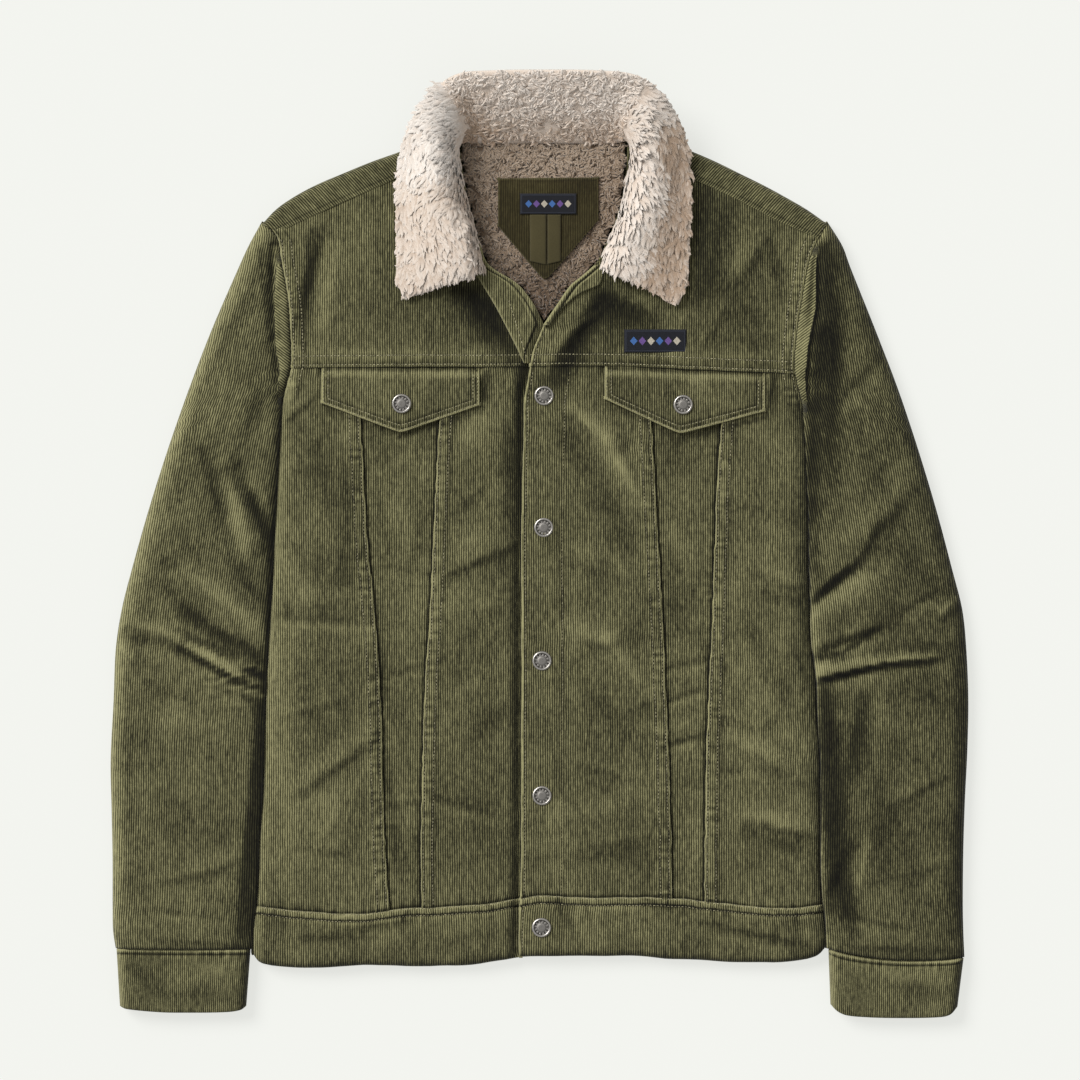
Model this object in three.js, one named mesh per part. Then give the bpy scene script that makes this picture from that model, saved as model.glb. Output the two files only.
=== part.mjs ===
import * as THREE from 'three';

// A corduroy jacket with a pile lining and collar, closed with snaps and laid flat on its back.
// Millimetres: X to the viewer's right, Y up towards the collar, Z up from the surface it lies on.

// Driving sizes
const SEAM_GAP = 0.3;
const NEARLY = 0.05;
const ARMHOLE_GAP = 0.45;
const ARMHOLE = { foldStart: 115, foldEnd: 160 };
const BACK_WALL = 6.2;
const FRONT_INSIDE = 6.6;
const BODY_HEIGHT = 14.6;
const SIDE_EDGE = { front: 9, back: 2.6, reach: 15, backReach: 8 };
const UNDERLAP = { width: 34, top: 9.8, dipStart: -14, dipEnd: -1, neckStart: 150 };
const OVERLAP = { inside: 10.2, end: 35.5, rampEnd: 42 };
const POCKET_DROP = 1.2;
const HEM_ROUND = { reach: 6, drop: 3.5 };
const SHOULDER_FOLD = { radius: BODY_HEIGHT / 2, flatAngle: 12, shortEnd: 1 };
const BACK_YOKE_Y = 145;
const BACK_WAIST_Y = -297;
const SLEEVE = { crown: 17, outerEdge: 8.5, reach: 16, floorRound: 2.8, floorReach: 9, rows: 40 };
const CUFF = { height: 15, wall: 5.6, arcSteps: 5, flatSteps: 6 };
const COLLAR = { pile: 7, corduroy: 1.6, turn: 0.36, rows: 34 };
const FLAP = { gap: 0.5, thickness: 2.4, tipRound: 5 };
const FACING = { gap: 0.8, thickness: 2.2, leftLow: 147, leftHigh: 244, rightLow: 178, rightHigh: 227 };
const LINING = { bottom: 6.5, top: 11.5, gap: 2 };
const PATCH_THICKNESS = 1.2;
const LABEL = { gap: 0.4, thickness: 0.9 };
const SNAP = { radius: 8, height: 2.3, rim: 1.1, sides: 16, gap: 0.25, dimple: 9, dimpleEnd: 17 };

// A table is a list of rows, each with the named columns
function table(names, rows) {
  const columns = names.split(' ');
  return rows.map((row) => Object.fromEntries(columns.map((name, i) => [name, row[i]])));
}

// Side seams and armholes, from the hem to the shoulder
const outline = table('y left right', [
  [-345, -234.4, 234.2], [-332, -234.6, 234.4], [-315, -234.2, 233.8], [-293, -231.4, 231.4],
  [-268, -229.8, 229.6], [-243, -229, 229.3], [-211, -226.7, 229.6], [-178, -225.7, 229.2],
  [-145, -224.7, 227.2], [-112, -223.4, 225.8], [-80, -221.4, 221.8], [-47, -219.3, 221],
  [-14, -217.7, 219.9], [19, -216.2, 219.8], [52, -214.4, 218.5], [85, -212.5, 216.9],
  [113, -210.3, 214.4], [130, -206.6, 210.2], [145, -202.6, 207.8], [173, -203, 210],
  [200, -204.8, 214.2], [231, -210.4, 220.2], [251, -214.3, 228.3], [262.4, -225.6, 234],
]);

// The four seams that slant from the chest to the waistband
const slants = table('y outerLeft innerLeft innerRight outerRight', [
  [-305, -122.6, -96.6, 109, 134.8], [-235, -126.7, -96.8, 107.6, 135.5],
  [-173, -128.3, -95.7, 106, 136.5], [-124, -130, -94.1, 103.6, 138.3],
  [-63, -134.1, -90.4, 101.1, 141.1], [2.5, -140.6, -86.9, 97.1, 143.5],
  [52, -143.5, -84.5, 94.5, 145.4], [101, -146.4, -82, 91.8, 149.1], [146, -148.8, -78.3, 89, 151.3],
]);

// Front edge of the placket, which lies over the other front
const placket = table('y edge', [
  [-345, -16.8], [-300, -16.8], [-286, -15.6], [-130, -14.8], [-63, -14.5], [-9, -15.2], [49, -14.1],
  [101, -13], [120, -12.2], [134.5, -9.6], [155, -5.8], [166.5, -2], [178, 3.3],
]);

// Neck edge of the two fronts
const neck = table('y left right', [
  [179.6, 3.2, 3.8], [195.2, -4.5, 14.3], [210.7, -16.4, 25.2], [217.3, -25.8, 33.2],
  [223.9, -37, 41], [230.4, -43.5, 47.4], [240.3, -47.1, 52.4], [260.8, -52.9, 61.1],
  [289.5, -60.3, 69.3], [320.6, -65.2, 71.8],
]);

// Level seams and edges, across the jacket
const chestSeam = table('x y', [
  [-215, 142.6], [-140, 143.6], [-20, 144], [60, 144.6], [130, 141.4], [215, 138.2],
]);
const waistSeam = table('x y', [
  [-236, -296.8], [-202, -300.1], [-157, -303.6], [-133, -301.9], [-110, -299], [-82, -297.7],
  [-46, -295.2], [-17, -291.1], [0, -288.6], [33, -289.9], [105, -290.3], [141, -293.6],
  [198, -298.9], [236, -295.2],
]);
const hem = table('x y', [
  [-235, -335], [-230, -342], [-219, -345.6], [-182, -347.4], [-150, -345.6], [-107, -345.7],
  [-64, -345.1], [-32, -341.1], [-17, -338.7], [0, -337.8], [66, -337.8], [132, -341.1],
  [187, -342.8], [220, -339.7], [229, -336], [235, -329],
]);
const frontShoulder = table('x y', [
  [-216, 253.2], [-176, 271.8], [-120, 296.8], [-65, 321], [0, 321], [72, 321], [123, 298.5],
  [148, 287.8], [197, 262.6], [228, 248.8],
]);
const shoulderFold = table('x y', [
  [-226, 262.4], [-216, 273], [-202, 282.9], [-184, 292.7], [-161, 302.6], [-137, 312.4],
  [-114, 320.6], [-90, 330.5], [-70, 336], [-60, 335.4], [0, 335], [64, 335.4], [75, 336],
  [95, 332.1], [123, 321.4], [144, 312.4], [164, 302.6], [184, 292.7], [202, 282.9], [219, 273],
  [234, 262.4],
]);

// How far the shoulder rolls over: 1 where the yoke reaches the front, 0 where it ends at the neck
const rollOver = table('x share', [
  [-240, 1], [-80, 1], [-73, 1], [-65, 0], [-58, 0], [0, 0], [62, 0], [70, 0], [78, 1], [85, 1],
  [240, 1],
]);

// Sleeves, from the shoulder to the cuff: outer edge, where the inner edge is, its height, and the row's sag
const sleeves = {
  left: table('outerX outerY innerY innerZ sag', [
    [-226.6, 263.3, 262, 13, 0], [-237.4, 243.5, 241.9, 14, 0], [-246.4, 223.9, 223.9, 14.6, 0],
    [-267.7, 174.7, 196, 14.6, 0], [-286.6, 125.5, 156.6, 14, 0], [-303.8, 76.3, 115.6, 11, 0],
    [-319.4, 27.1, 59.9, 9, 0], [-333.3, -22.1, 2.5, 9, 0], [-341.5, -54.9, -42.6, 8.5, 0],
    [-346.4, -87.7, -79.5, 8.5, 0], [-348.1, -128.7, -128.7, 9, 0], [-350.5, -177.9, -177.9, 9, 0],
    [-349.7, -218.9, -218.9, 9, 0], [-348.9, -259.9, -259.9, 9, 0], [-348.9, -296.8, -293, 9, 0],
    [-348.5, -317.3, -315.7, 9.5, 0], [-346.4, -331.8, -332.2, 10, 0.4],
  ]),
  right: table('outerX outerY innerY innerZ sag', [
    [234.9, 263.3, 261.4, 13, 0], [247.2, 243.5, 241.1, 14, 0], [254.6, 223.9, 223.9, 14.6, 0],
    [274.3, 174.7, 189.4, 14.6, 0], [293.1, 125.5, 153.3, 14, 0], [309.5, 76.3, 115.6, 11, 0],
    [324.3, 27.1, 59.9, 9, 0], [337.4, -22.1, 2.5, 9, 0], [345.6, -54.9, -42.6, 8.5, 0],
    [348.9, -87.7, -79.5, 8.5, 0], [350.5, -128.7, -128.7, 9, 0], [349.7, -169.7, -171.4, 9, 0],
    [347.7, -210.7, -210.7, 9, 0], [346.4, -251.7, -251.7, 9, 0], [346, -292.7, -290.3, 9, 1],
    [346.4, -317.3, -313.7, 9.5, 3], [347.3, -339.1, -331.6, 10, 5.6],
  ]),
};

// Cuffs: seam and free end at three places across
const cuffs = {
  left: table('share x seam end endX', [
    [0, -346.4, -332.3, -379.7, -343.6], [0.5, -291.5, -332.9, -384, -292],
    [1, -236.6, -332.7, -379.2, -240.1],
  ]),
  right: table('share x seam end endX', [
    [0, 236.6, -332.6, -377.6, 238.2], [0.28, 267.6, -339.9, -384.6, 267.4],
    [0.52, 294.2, -342.2, -388.7, 293.2], [1, 347.3, -340.2, -382.9, 342.3],
  ]),
};

// Collar, from the left end round the back of the neck: neck edge, crest, free edge, and how far it stands
const collar = table('neckX neckY neckZ crestX crestY crestZ freeX freeY freeZ stand', [
  [-50, 222, 20.8, -59, 219, 26, -107, 201.7, 18.6, 0],
  [-52, 231, 20.8, -61, 228, 28, -118, 212, 18.6, 0],
  [-56, 246, 20.2, -65, 243, 30, -117.2, 224, 18.4, 0],
  [-62.5, 272, 18.4, -72, 270, 32, -116.8, 260.8, 18.6, 0],
  [-68.5, 300, 18.4, -78, 299.5, 33, -116, 297.7, 19, 0],
  [-71, 320, 19, -79, 332, 34, -107, 335.4, 25, 0.25],
  [-66, 331, 16.5, -72, 353, 36, -86, 367.5, 38, 0.7],
  [-54, 330.4, 8.6, -58.6, 360, 32, -67, 384.6, 45, 1],
  [-32, 330.2, 7.8, -34, 360, 31, -38.9, 388, 46, 1],
  [4.5, 330.2, 7.8, 4.5, 360, 31, 4.5, 388.7, 46, 1], [41.4, 330.2, 7.8, 43, 360, 31, 48, 388, 46, 1],
  [62, 330.4, 8.6, 67.6, 360, 32, 77.5, 383.8, 45, 1],
  [74.5, 331, 16.5, 81, 352, 36, 97, 367.4, 38, 0.7],
  [79, 318, 19, 87, 331, 34, 116.8, 337, 25, 0.25],
  [77.5, 300, 18.4, 87, 300, 33, 123.4, 301.8, 19, 0],
  [71, 270, 18.4, 80.5, 267, 32, 122.6, 260.8, 18.6, 0],
  [62, 246, 20.2, 71, 242, 30, 122, 233, 18.4, 0], [59, 236, 20.8, 67, 231, 28, 120.6, 214, 18.6, 0],
  [56.5, 228, 20.8, 65, 222, 26, 112, 195, 18.6, 0],
]);

// Pointed pieces: pocket flaps and the patch behind the neck
const [flapLeft, flapRight, lockerPatch] = table('left right topLeft topRight sideLeft sideRight tipX tipY', [
  [-178.3, -48.9, 142.2, 141.6, 115.1, 113.4, -113.6, 90.6],
  [53.3, 184.6, 143, 137.6, 118.6, 108.2, 115.2, 89.7],
  [-34, 48.4, 298.5, 299.3, 261.6, 266.5, 4.5, 215.7],
]);

// Facings turned out at the neck: the free edge on the yoke
const facingEdges = {
  left: table('y edge', [[146, -12.5], [160.9, -19.4], [192.7, -35.7], [218.9, -51.2], [245, -63]]),
  right: table('y edge', [[175, 5.4], [193.8, 20.3], [205.2, 34.6], [211.7, 49.2], [228, 51.8]]),
};

// Hanger loop and labels
const loop = { left: -7.8, right: 17.6, slotX: 5.7, slot: 0.8, top: 268.6, turn: 233, low: 227.6, corner: 3 };
const neckLabel = { left: -16, right: 30.3, low: 269, high: 285.9 };
const chestLabel = { left: 69.3, right: 120.1, low: 155.8, high: 174.7 };

// Snaps, as seen from the front
const snaps = table('name x y', [
  ['snap_front_1', 3.7, 120.5], ['snap_front_2', 3.4, 12.7], ['snap_front_3', 2, -96.3],
  ['snap_front_4', 2, -206.6], ['snap_front_5', 1.6, -314.5], ['snap_flap_left', -112.8, 114],
  ['snap_flap_right', 117.4, 113.2],
]);

// Folds of the body and of the sleeves: start, end, half width and height, which is below 0 for a trough
const bodyFolds = table('x0 y0 x1 y1 width height', [
  [29, 105, 62, 76, 8, 2.4], [62, 76, 84, 24, 8, 2.2], [25, -71, 58, -84, 8, 2.2],
  [58, -84, 88, -130, 8, 2], [-24, 95, -24, -18, 8, -1.6], [-82, -26, -24, -2, 8, 1.8],
  [-57, 84, -32, 60, 7, 1.6], [152, -79, 189, -145, 9, 2.4], [181, -22, 214, -39, 8, 2],
  [164, -161, 226, -203, 9, 2.4], [172, -227, 226, -239, 8, 2.2], [-217, -61, -139, -67, 7, -2],
  [-217, -48, -150, -52, 8, 1.4], [-139, -161, -196, -203, 9, 1.8], [-196, 3, -164, -30, 10, 1.8],
  [-65, 208, -20, 152, 10, -2], [50, 200, 22, 148, 11, -2], [-176, 248, -196, 175, 10, -1.8],
  [181, 246, 164, 216, 10, 1.8], [-225, -305, -196, -326, 7, -1.4], [-164, -321, -106, -313, 7, -1.4],
  [17, -293, 33, -326, 7, -1.2], [205, -309, 222, -317, 7, -1.2],
]);
const sleeveFolds = table('x0 y0 x1 y1 width height', [
  [-258, 60, -228, -2, 9, 3], [-246, 62, -218, 0, 7, -3], [-336, -70, -228, -121, 6, -2.6],
  [-287, -80, -225, -103, 6, -3], [-266, -106, -225, -121, 6, 2.4], [-303, -14, -246, -80, 8, -2.2],
  [-218, 243, -216, 168, 5, -3], [-216, 168, -211, 122, 5, -3], [218, 134, 226, 19, 10, -3.4],
  [224, -51, 259, -22, 6, -2.6], [226, -92, 279, -71, 6, -2.6], [226, -112, 279, -100, 5, -3],
  [279, -100, 328, -92, 5, -3], [226, -120, 328, -100, 5, 2.2], [234, -121, 246, -162, 7, -2.2],
  [255, -252, 238, -293, 9, -1.8], [226, 240, 222, 180, 5, -2.6], [-300, -200, -262, -240, 10, 1.6],
  [300, 40, 262, 0, 10, 1.8],
]);

// Broad swells of the fronts, where the pile inside fills them
const swells = table('x y reachX reachY height', [
  [-130, 210, 60, 40, 1.6], [135, 205, 60, 40, 1.6], [-180, -100, 30, 160, 1.2],
  [182, -100, 30, 160, 1.2], [-60, -100, 26, 150, 1.2], [62, -100, 26, 150, 1.2],
  [-125, -322, 90, 12, 0.8], [125, -318, 90, 12, 0.8],
]);

// The value of one column where another has the given value, on a smooth curve through the rows
function read(rows, by, want, at) {
  const last = rows.length - 1;
  const place = Math.min(Math.max(at, rows[0][by]), rows[last][by]);
  let i = 0;
  while (i < last - 1 && rows[i + 1][by] < place) i += 1;
  const slope = (k) => {
    const before = rows[Math.max(k - 1, 0)];
    const after = rows[Math.min(k + 1, last)];
    return (after[want] - before[want]) / (after[by] - before[by]);
  };
  const span = rows[i + 1][by] - rows[i][by];
  const t = (place - rows[i][by]) / span;
  const rise = t * t * (3 - 2 * t);
  const start = t * (1 - t) * (1 - t) * span * slope(i);
  const end = t * t * (t - 1) * span * slope(i + 1);
  return rows[i][want] + (rows[i + 1][want] - rows[i][want]) * rise + start + end;
}

// The same, by the row's number in the table
function readRow(rows, want, at) {
  return read(rows.map((row, i) => ({ i, value: row[want] })), 'i', 'value', at);
}

const mix = (a, b, share) => a + (b - a) * share;

// 0 before a, 1 after b, eased between them
function ease(a, b, at) {
  const t = Math.min(Math.max((at - a) / (b - a), 0), 1);
  return t * t * (3 - 2 * t);
}

// Quarter circle from 0 at an edge to 1 at its reach
function rounding(distance, reach) {
  const t = Math.min(Math.max(distance / reach, 0), 1);
  return Math.sqrt(1 - (1 - t) * (1 - t));
}

// Height that the folds add at a place
function foldHeight(folds, x, y) {
  let height = 0;
  for (const fold of folds) {
    const alongX = fold.x1 - fold.x0;
    const alongY = fold.y1 - fold.y0;
    const t = ((x - fold.x0) * alongX + (y - fold.y0) * alongY) / (alongX * alongX + alongY * alongY);
    const near = Math.min(Math.max(t, 0), 1);
    const away = Math.hypot(x - fold.x0 - near * alongX, y - fold.y0 - near * alongY) / fold.width;
    height += fold.height * Math.exp(-away * away) * (0.55 + 1.8 * near * (1 - near));
  }
  return height;
}

const bodyLeft = (y) => read(outline, 'y', 'left', y);
const bodyRight = (y) => read(outline, 'y', 'right', y);
const placketEdge = (y) => read(placket, 'y', 'edge', y);
const underlapEdge = (y) => placketEdge(y) + UNDERLAP.width;

// Top of the fronts before a front's own edge, with the snaps' dimples pressed in
function softTop(x, y) {
  let top = BODY_HEIGHT + foldHeight(bodyFolds, x, y);
  for (const swell of swells) {
    const away = Math.hypot((x - swell.x) / swell.reachX, (y - swell.y) / swell.reachY);
    top += swell.height * Math.exp(-away * away);
  }
  return top;
}

function frontTop(x, y) {
  let top = softTop(x, y);
  for (const snap of snaps) {
    const away = Math.hypot(x - snap.x, y - snap.y);
    top = mix(softTop(snap.x, snap.y), top, ease(SNAP.dimple, SNAP.dimpleEnd, away));
  }
  const toSide = Math.min(x - bodyLeft(y), bodyRight(y) - x);
  const sideFold = 1 - ease(ARMHOLE.foldStart, ARMHOLE.foldEnd, y);
  top -= (top - SIDE_EDGE.front) * (1 - rounding(toSide, SIDE_EDGE.reach)) * sideFold;
  const toHem = y - read(hem, 'x', 'y', x);
  return top - HEM_ROUND.drop * (1 - rounding(toHem, HEM_ROUND.reach));
}

// The front that lies under the placket dips to pass below it
function leftTop(x, y) {
  const past = x - placketEdge(y);
  return mix(frontTop(x, y), UNDERLAP.top, ease(UNDERLAP.dipStart, UNDERLAP.dipEnd, past));
}

const pocketTop = (x, y) => frontTop(x, y) - POCKET_DROP;

// The other front's inside rises over it
function rightInside(x, y) {
  const past = x - placketEdge(y);
  return mix(OVERLAP.inside, FRONT_INSIDE, ease(OVERLAP.end, OVERLAP.rampEnd, past));
}

const plainInside = () => FRONT_INSIDE;

// Underside of the back, rounded up at the side folds
function backUnderside(x, y) {
  const toSide = Math.min(x - bodyLeft(y), bodyRight(y) - x);
  const sideFold = 1 - ease(ARMHOLE.foldStart, ARMHOLE.foldEnd, y);
  return SIDE_EDGE.back * (1 - rounding(toSide, SIDE_EDGE.backReach)) * sideFold;
}

// Where the columns of a panel lie: some at set distances from either edge, the rest shared out between them
function columns(near, count, far) {
  const start = near.at(-1);
  const stop = far[0];
  const steps = near.map((distance) => () => distance);
  for (let k = 1; k < count; k += 1) steps.push((width) => start + (width - start - stop) * k / count);
  return steps.concat(far.map((distance) => (width) => width - distance));
}

// A place on a panel that lies between a left and a right seam and a low and a high one
function placeOn(panel, column, up) {
  let x = 0;
  let y = (panel.low(0) + panel.high(0)) / 2;
  for (let pass = 0; pass < 30; pass += 1) {
    const left = panel.left(y) + SEAM_GAP / 2;
    x = left + column(panel.right(y) - SEAM_GAP / 2 - left);
    const low = panel.low(x) + SEAM_GAP / 2;
    y = mix(y, mix(low, panel.high(x) - SEAM_GAP / 2, up), 0.6);
  }
  return [x, y];
}

// Triangles between two rows of points, always by the shorter way across
function stitch(faces, points, first, second, flip = false) {
  const apart = (a, b) => Math.hypot(...points[a].map((value, k) => value - points[b][k]));
  const push = (a, b, c) => faces.push(a, ...(flip ? [c, b] : [b, c]));
  let i = 0;
  let j = 0;
  while (i < first.length - 1 || j < second.length - 1) {
    const moreFirst = i < first.length - 1;
    const moreSecond = j < second.length - 1;
    const both = moreFirst && moreSecond;
    const shorter = both && apart(first[i + 1], second[j]) <= apart(first[i], second[j + 1]) + NEARLY;
    if (!moreSecond || shorter) {
      push(first[i], first[i + 1], second[j]);
      i += 1;
    } else {
      push(first[i], second[j + 1], second[j]);
      j += 1;
    }
  }
}

// A closed wall between an outer and an inner sheet of points, row by row, as a ring or with rims all round
function wall(outer, inner, ring = false) {
  const points = [];
  const number = (rows) => rows.map((row) => {
    const numbers = row.map((point) => points.push(point) - 1);
    return ring ? [...numbers, numbers[0]] : numbers;
  });
  const top = number(outer);
  const bottom = number(inner);
  const last = top.length - 1;
  const faces = [];
  for (let r = 0; r < last; r += 1) {
    stitch(faces, points, top[r], top[r + 1]);
    stitch(faces, points, bottom[r], bottom[r + 1], true);
  }
  stitch(faces, points, bottom[0], top[0]);
  stitch(faces, points, top[last], bottom[last]);
  if (!ring) {
    stitch(faces, points, top.map((row) => row[0]), bottom.map((row) => row[0]));
    stitch(faces, points, bottom.map((row) => row.at(-1)), top.map((row) => row.at(-1)));
  }
  return solid(points, faces);
}

// A geometry from points and faces, turned so that its faces point out
function solid(points, faces) {
  let volume = 0;
  const corner = [new THREE.Vector3(), new THREE.Vector3(), new THREE.Vector3()];
  for (let f = 0; f < faces.length; f += 3) {
    corner.forEach((vector, k) => vector.fromArray(points[faces[f + k]]));
    volume += corner[0].dot(corner[1].clone().cross(corner[2]));
  }
  const geometry = new THREE.BufferGeometry();
  geometry.setAttribute('position', new THREE.Float32BufferAttribute(points.flat(), 3));
  geometry.setIndex(volume > 0 ? faces : faces.toReversed());
  geometry.computeVertexNormals();
  return geometry;
}

const jacket = new THREE.Group();

function finish(colour, roughness, metalness = 0) {
  return new THREE.MeshStandardMaterial({ color: colour, roughness, metalness });
}

function add(name, geometry, material) {
  const mesh = new THREE.Mesh(geometry, material());
  mesh.name = name;
  jacket.add(mesh);
  return mesh;
}

const corduroy = () => finish(0x57543a, 0.95);
const pile = () => finish(0xcdbfae, 1);
const shadedPile = () => finish(0x8a7a66, 1);
const twill = () => finish(0x3a3420, 0.9);
const woven = () => finish(0x23262e, 0.8);
const metal = () => finish(0x8f8b84, 0.4, 0.85);

// A panel as a wall: a soft outside, and an inside that keeps its edges and the columns named
function panelWall(panel, steps, count, outside, inside, middle = []) {
  const kept = [0, ...middle, steps.length - 1];
  const outer = [];
  const inner = [];
  for (let r = 0; r <= count; r += 1) {
    const row = steps.map((step) => placeOn(panel, step, r / count));
    outer.push(row.map(([x, y]) => [x, y, outside(x, y)]));
    const end = r === 0 || r === count;
    const few = row.filter((place, c) => end || kept.includes(c));
    inner.push(few.map(([x, y]) => [x, y, inside(x, y)]));
  }
  return wall(outer, inner);
}

const chest = (x) => read(chestSeam, 'x', 'y', x);
const waist = (x) => read(waistSeam, 'x', 'y', x);
const hemline = (x) => read(hem, 'x', 'y', x);
const shoulder = (x) => read(frontShoulder, 'x', 'y', x);
const slant = (name) => (y) => read(slants, 'y', name, y);
const rollEdge = neck[0].y;

// Neck edge of the front below, which runs on under the placket to the underlap
function neckLeft(y) {
  const meeting = read(neck, 'y', 'left', rollEdge);
  const hidden = mix(underlapEdge(y), meeting, ease(UNDERLAP.neckStart, rollEdge, y));
  return y < rollEdge ? hidden : read(neck, 'y', 'left', y);
}

const neckRight = (y) => (y < rollEdge ? placketEdge(y) : read(neck, 'y', 'right', y));

// Fronts: yokes, side fronts, pocket panels and centre fronts
function addFronts() {
  const tuck = [60, 49, 44, 40, 36.5, 34, 17, 0];
  const cover = [0, 4, 20, OVERLAP.end, OVERLAP.rampEnd];
  const ramp = [3, 4];
  const edgeIn = [0, 1.2, 4, 9, 17];
  const edgeOut = [17, 9, 4, 1.2, 0];
  const plain = [0];
  const yokes = { low: chest, high: shoulder };
  const leftYoke = { left: bodyLeft, right: neckLeft, ...yokes };
  const rightYoke = { left: neckRight, right: bodyRight, ...yokes };
  const leftSteps = columns(plain, 7, [60, 50, 43, 37, 31, 25, 19, 12, 0]);
  const rightSteps = columns(cover, 9, plain);
  add('front_yoke_left', panelWall(leftYoke, leftSteps, 13, leftTop, plainInside), corduroy);
  add('front_yoke_right', panelWall(rightYoke, rightSteps, 13, frontTop, rightInside, ramp), corduroy);
  const body = { low: waist, high: chest };
  const even = columns(plain, 5, plain);
  const lapped = columns(cover, 6, plain);
  const panels = [
    ['side_front_left', bodyLeft, slant('outerLeft'), columns(edgeIn, 5, plain), frontTop, plainInside],
    ['pocket_panel_left', slant('outerLeft'), slant('innerLeft'), even, pocketTop, plainInside],
    ['centre_front_left', slant('innerLeft'), underlapEdge, columns(plain, 4, tuck), leftTop, plainInside],
    ['centre_front_right', placketEdge, slant('innerRight'), lapped, frontTop, rightInside, ramp],
    ['pocket_panel_right', slant('innerRight'), slant('outerRight'), even, pocketTop, plainInside],
    ['side_front_right', slant('outerRight'), bodyRight, columns(plain, 5, edgeOut), frontTop, plainInside],
  ];
  for (const [name, left, right, ...rest] of panels) {
    const [steps, ...sheets] = rest;
    add(name, panelWall({ left, right, ...body }, steps, 25, ...sheets), corduroy);
  }
  const band = { low: hemline, high: waist };
  const bandLeft = { left: bodyLeft, right: underlapEdge, ...band };
  const bandRight = { left: placketEdge, right: bodyRight, ...band };
  const bandSteps = columns(edgeIn, 8, tuck);
  const bandOver = columns(cover, 10, edgeOut);
  add('waistband_left', panelWall(bandLeft, bandSteps, 5, leftTop, plainInside), corduroy);
  add('waistband_right', panelWall(bandRight, bandOver, 5, frontTop, rightInside, ramp), corduroy);
}

// Back: the panel and the back of the waistband lie flat, with their outside below
function addBack() {
  const steps = columns([0, 1.2, 4, 8], 5, [8, 4, 1.2, 0]);
  const sides = { left: bodyLeft, right: bodyRight };
  const top = () => BACK_WALL;
  const panel = { ...sides, low: () => BACK_WAIST_Y, high: () => BACK_YOKE_Y };
  const band = { ...sides, low: hemline, high: () => BACK_WAIST_Y };
  add('back_panel', panelWall(panel, steps, 22, backUnderside, top), corduroy);
  const bandSteps = columns([0, 1.2, 4, 8], 12, [8, 4, 1.2, 0]);
  add('waistband_back', panelWall(band, bandSteps, 3, backUnderside, top), corduroy);
}

// Back yoke: flat below, rolled round the shoulder fold, then over to the front's shoulder seam
function addBackYoke() {
  const fold = (x) => read(shoulderFold, 'x', 'y', x);
  const radius = SHOULDER_FOLD.radius;
  const panel = { left: bodyLeft, right: bodyRight, low: () => BACK_YOKE_Y, high: (x) => fold(x) - radius };
  const near = [0, 12, 29, 46, 64, 82, 100, 118, 136, 151.5, 160];
  const far = [165, 156, 140, 122, 104, 86, 66, 46, 29, 12, 0];
  const steps = columns(near, 6, far);
  const outer = [];
  const inner = [];
  for (const up of [0, 0.2, 0.4, 0.55, 0.7, 0.8, 0.9, 1]) {
    const row = steps.map((step) => placeOn(panel, step, up));
    const few = row.filter((place, c) => up === 0 || up === 1 || c === 0 || c === steps.length - 1);
    outer.push((up > 0 && up < 1 ? few : row).map(([x, y]) => [x, y, 0]));
    inner.push(few.map(([x, y]) => [x, y, BACK_WALL]));
  }
  const rolled = (x, depth, turn, past) => {
    const share = Math.min(Math.max(read(rollOver, 'x', 'share', x), 0), 1);
    const angle = THREE.MathUtils.degToRad(mix(SHOULDER_FOLD.flatAngle, 180, share)) * turn;
    const length = mix(SHOULDER_FOLD.shortEnd, fold(x) - radius - shoulder(x) - SEAM_GAP, share) * past;
    const curve = radius - depth;
    const y = fold(x) - radius + curve * Math.sin(angle) + length * Math.cos(angle);
    const soft = (softTop(x, y) - BODY_HEIGHT) * share * past * ease(0, BACK_WALL, BACK_WALL - depth);
    return [x, y, radius - curve * Math.cos(angle) + length * Math.sin(angle) + soft];
  };
  const bend = [[0.2, 0], [0.4, 0], [0.6, 0], [0.8, 0], [1, 0], [1, 0.5], [1, 1]];
  for (const [turn, past] of bend) {
    const row = outer.at(-1).map(([x]) => x);
    const shift = (x) => {
      const share = Math.min(Math.max(read(rollOver, 'x', 'share', x), 0), 1);
      const y = mix(fold(x) - radius, shoulder(x), share * past);
      const left = bodyLeft(y) + SEAM_GAP / 2;
      const right = bodyRight(y) - SEAM_GAP / 2;
      return Math.min(Math.max(x, left), right);
    };
    const places = past === 0 ? row : row.map(shift);
    outer.push(places.map((x) => rolled(x, 0, turn, past)));
    inner.push(places.map((x) => rolled(x, BACK_WALL, turn, past)));
  }
  add('back_yoke', wall(outer, inner), corduroy);
}

// A place on a sleeve, by its row and its share from the outer to the inner edge, with the row's width there
function placeOnSleeve(side, row, share) {
  const rows = sleeves[side];
  const sign = side === 'left' ? -1 : 1;
  const innerY = readRow(rows, 'innerY', row);
  const edge = side === 'left' ? bodyLeft(innerY) : bodyRight(innerY);
  const outer = [readRow(rows, 'outerX', row), readRow(rows, 'outerY', row)];
  const inner = [edge + sign * ARMHOLE_GAP, innerY];
  const x = mix(outer[0], inner[0], share);
  const sag = readRow(rows, 'sag', row) * 4 * share * (1 - share);
  const width = Math.hypot(inner[0] - outer[0], inner[1] - outer[1]);
  return { x, y: mix(outer[1], inner[1], share) - sag, width };
}

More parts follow.
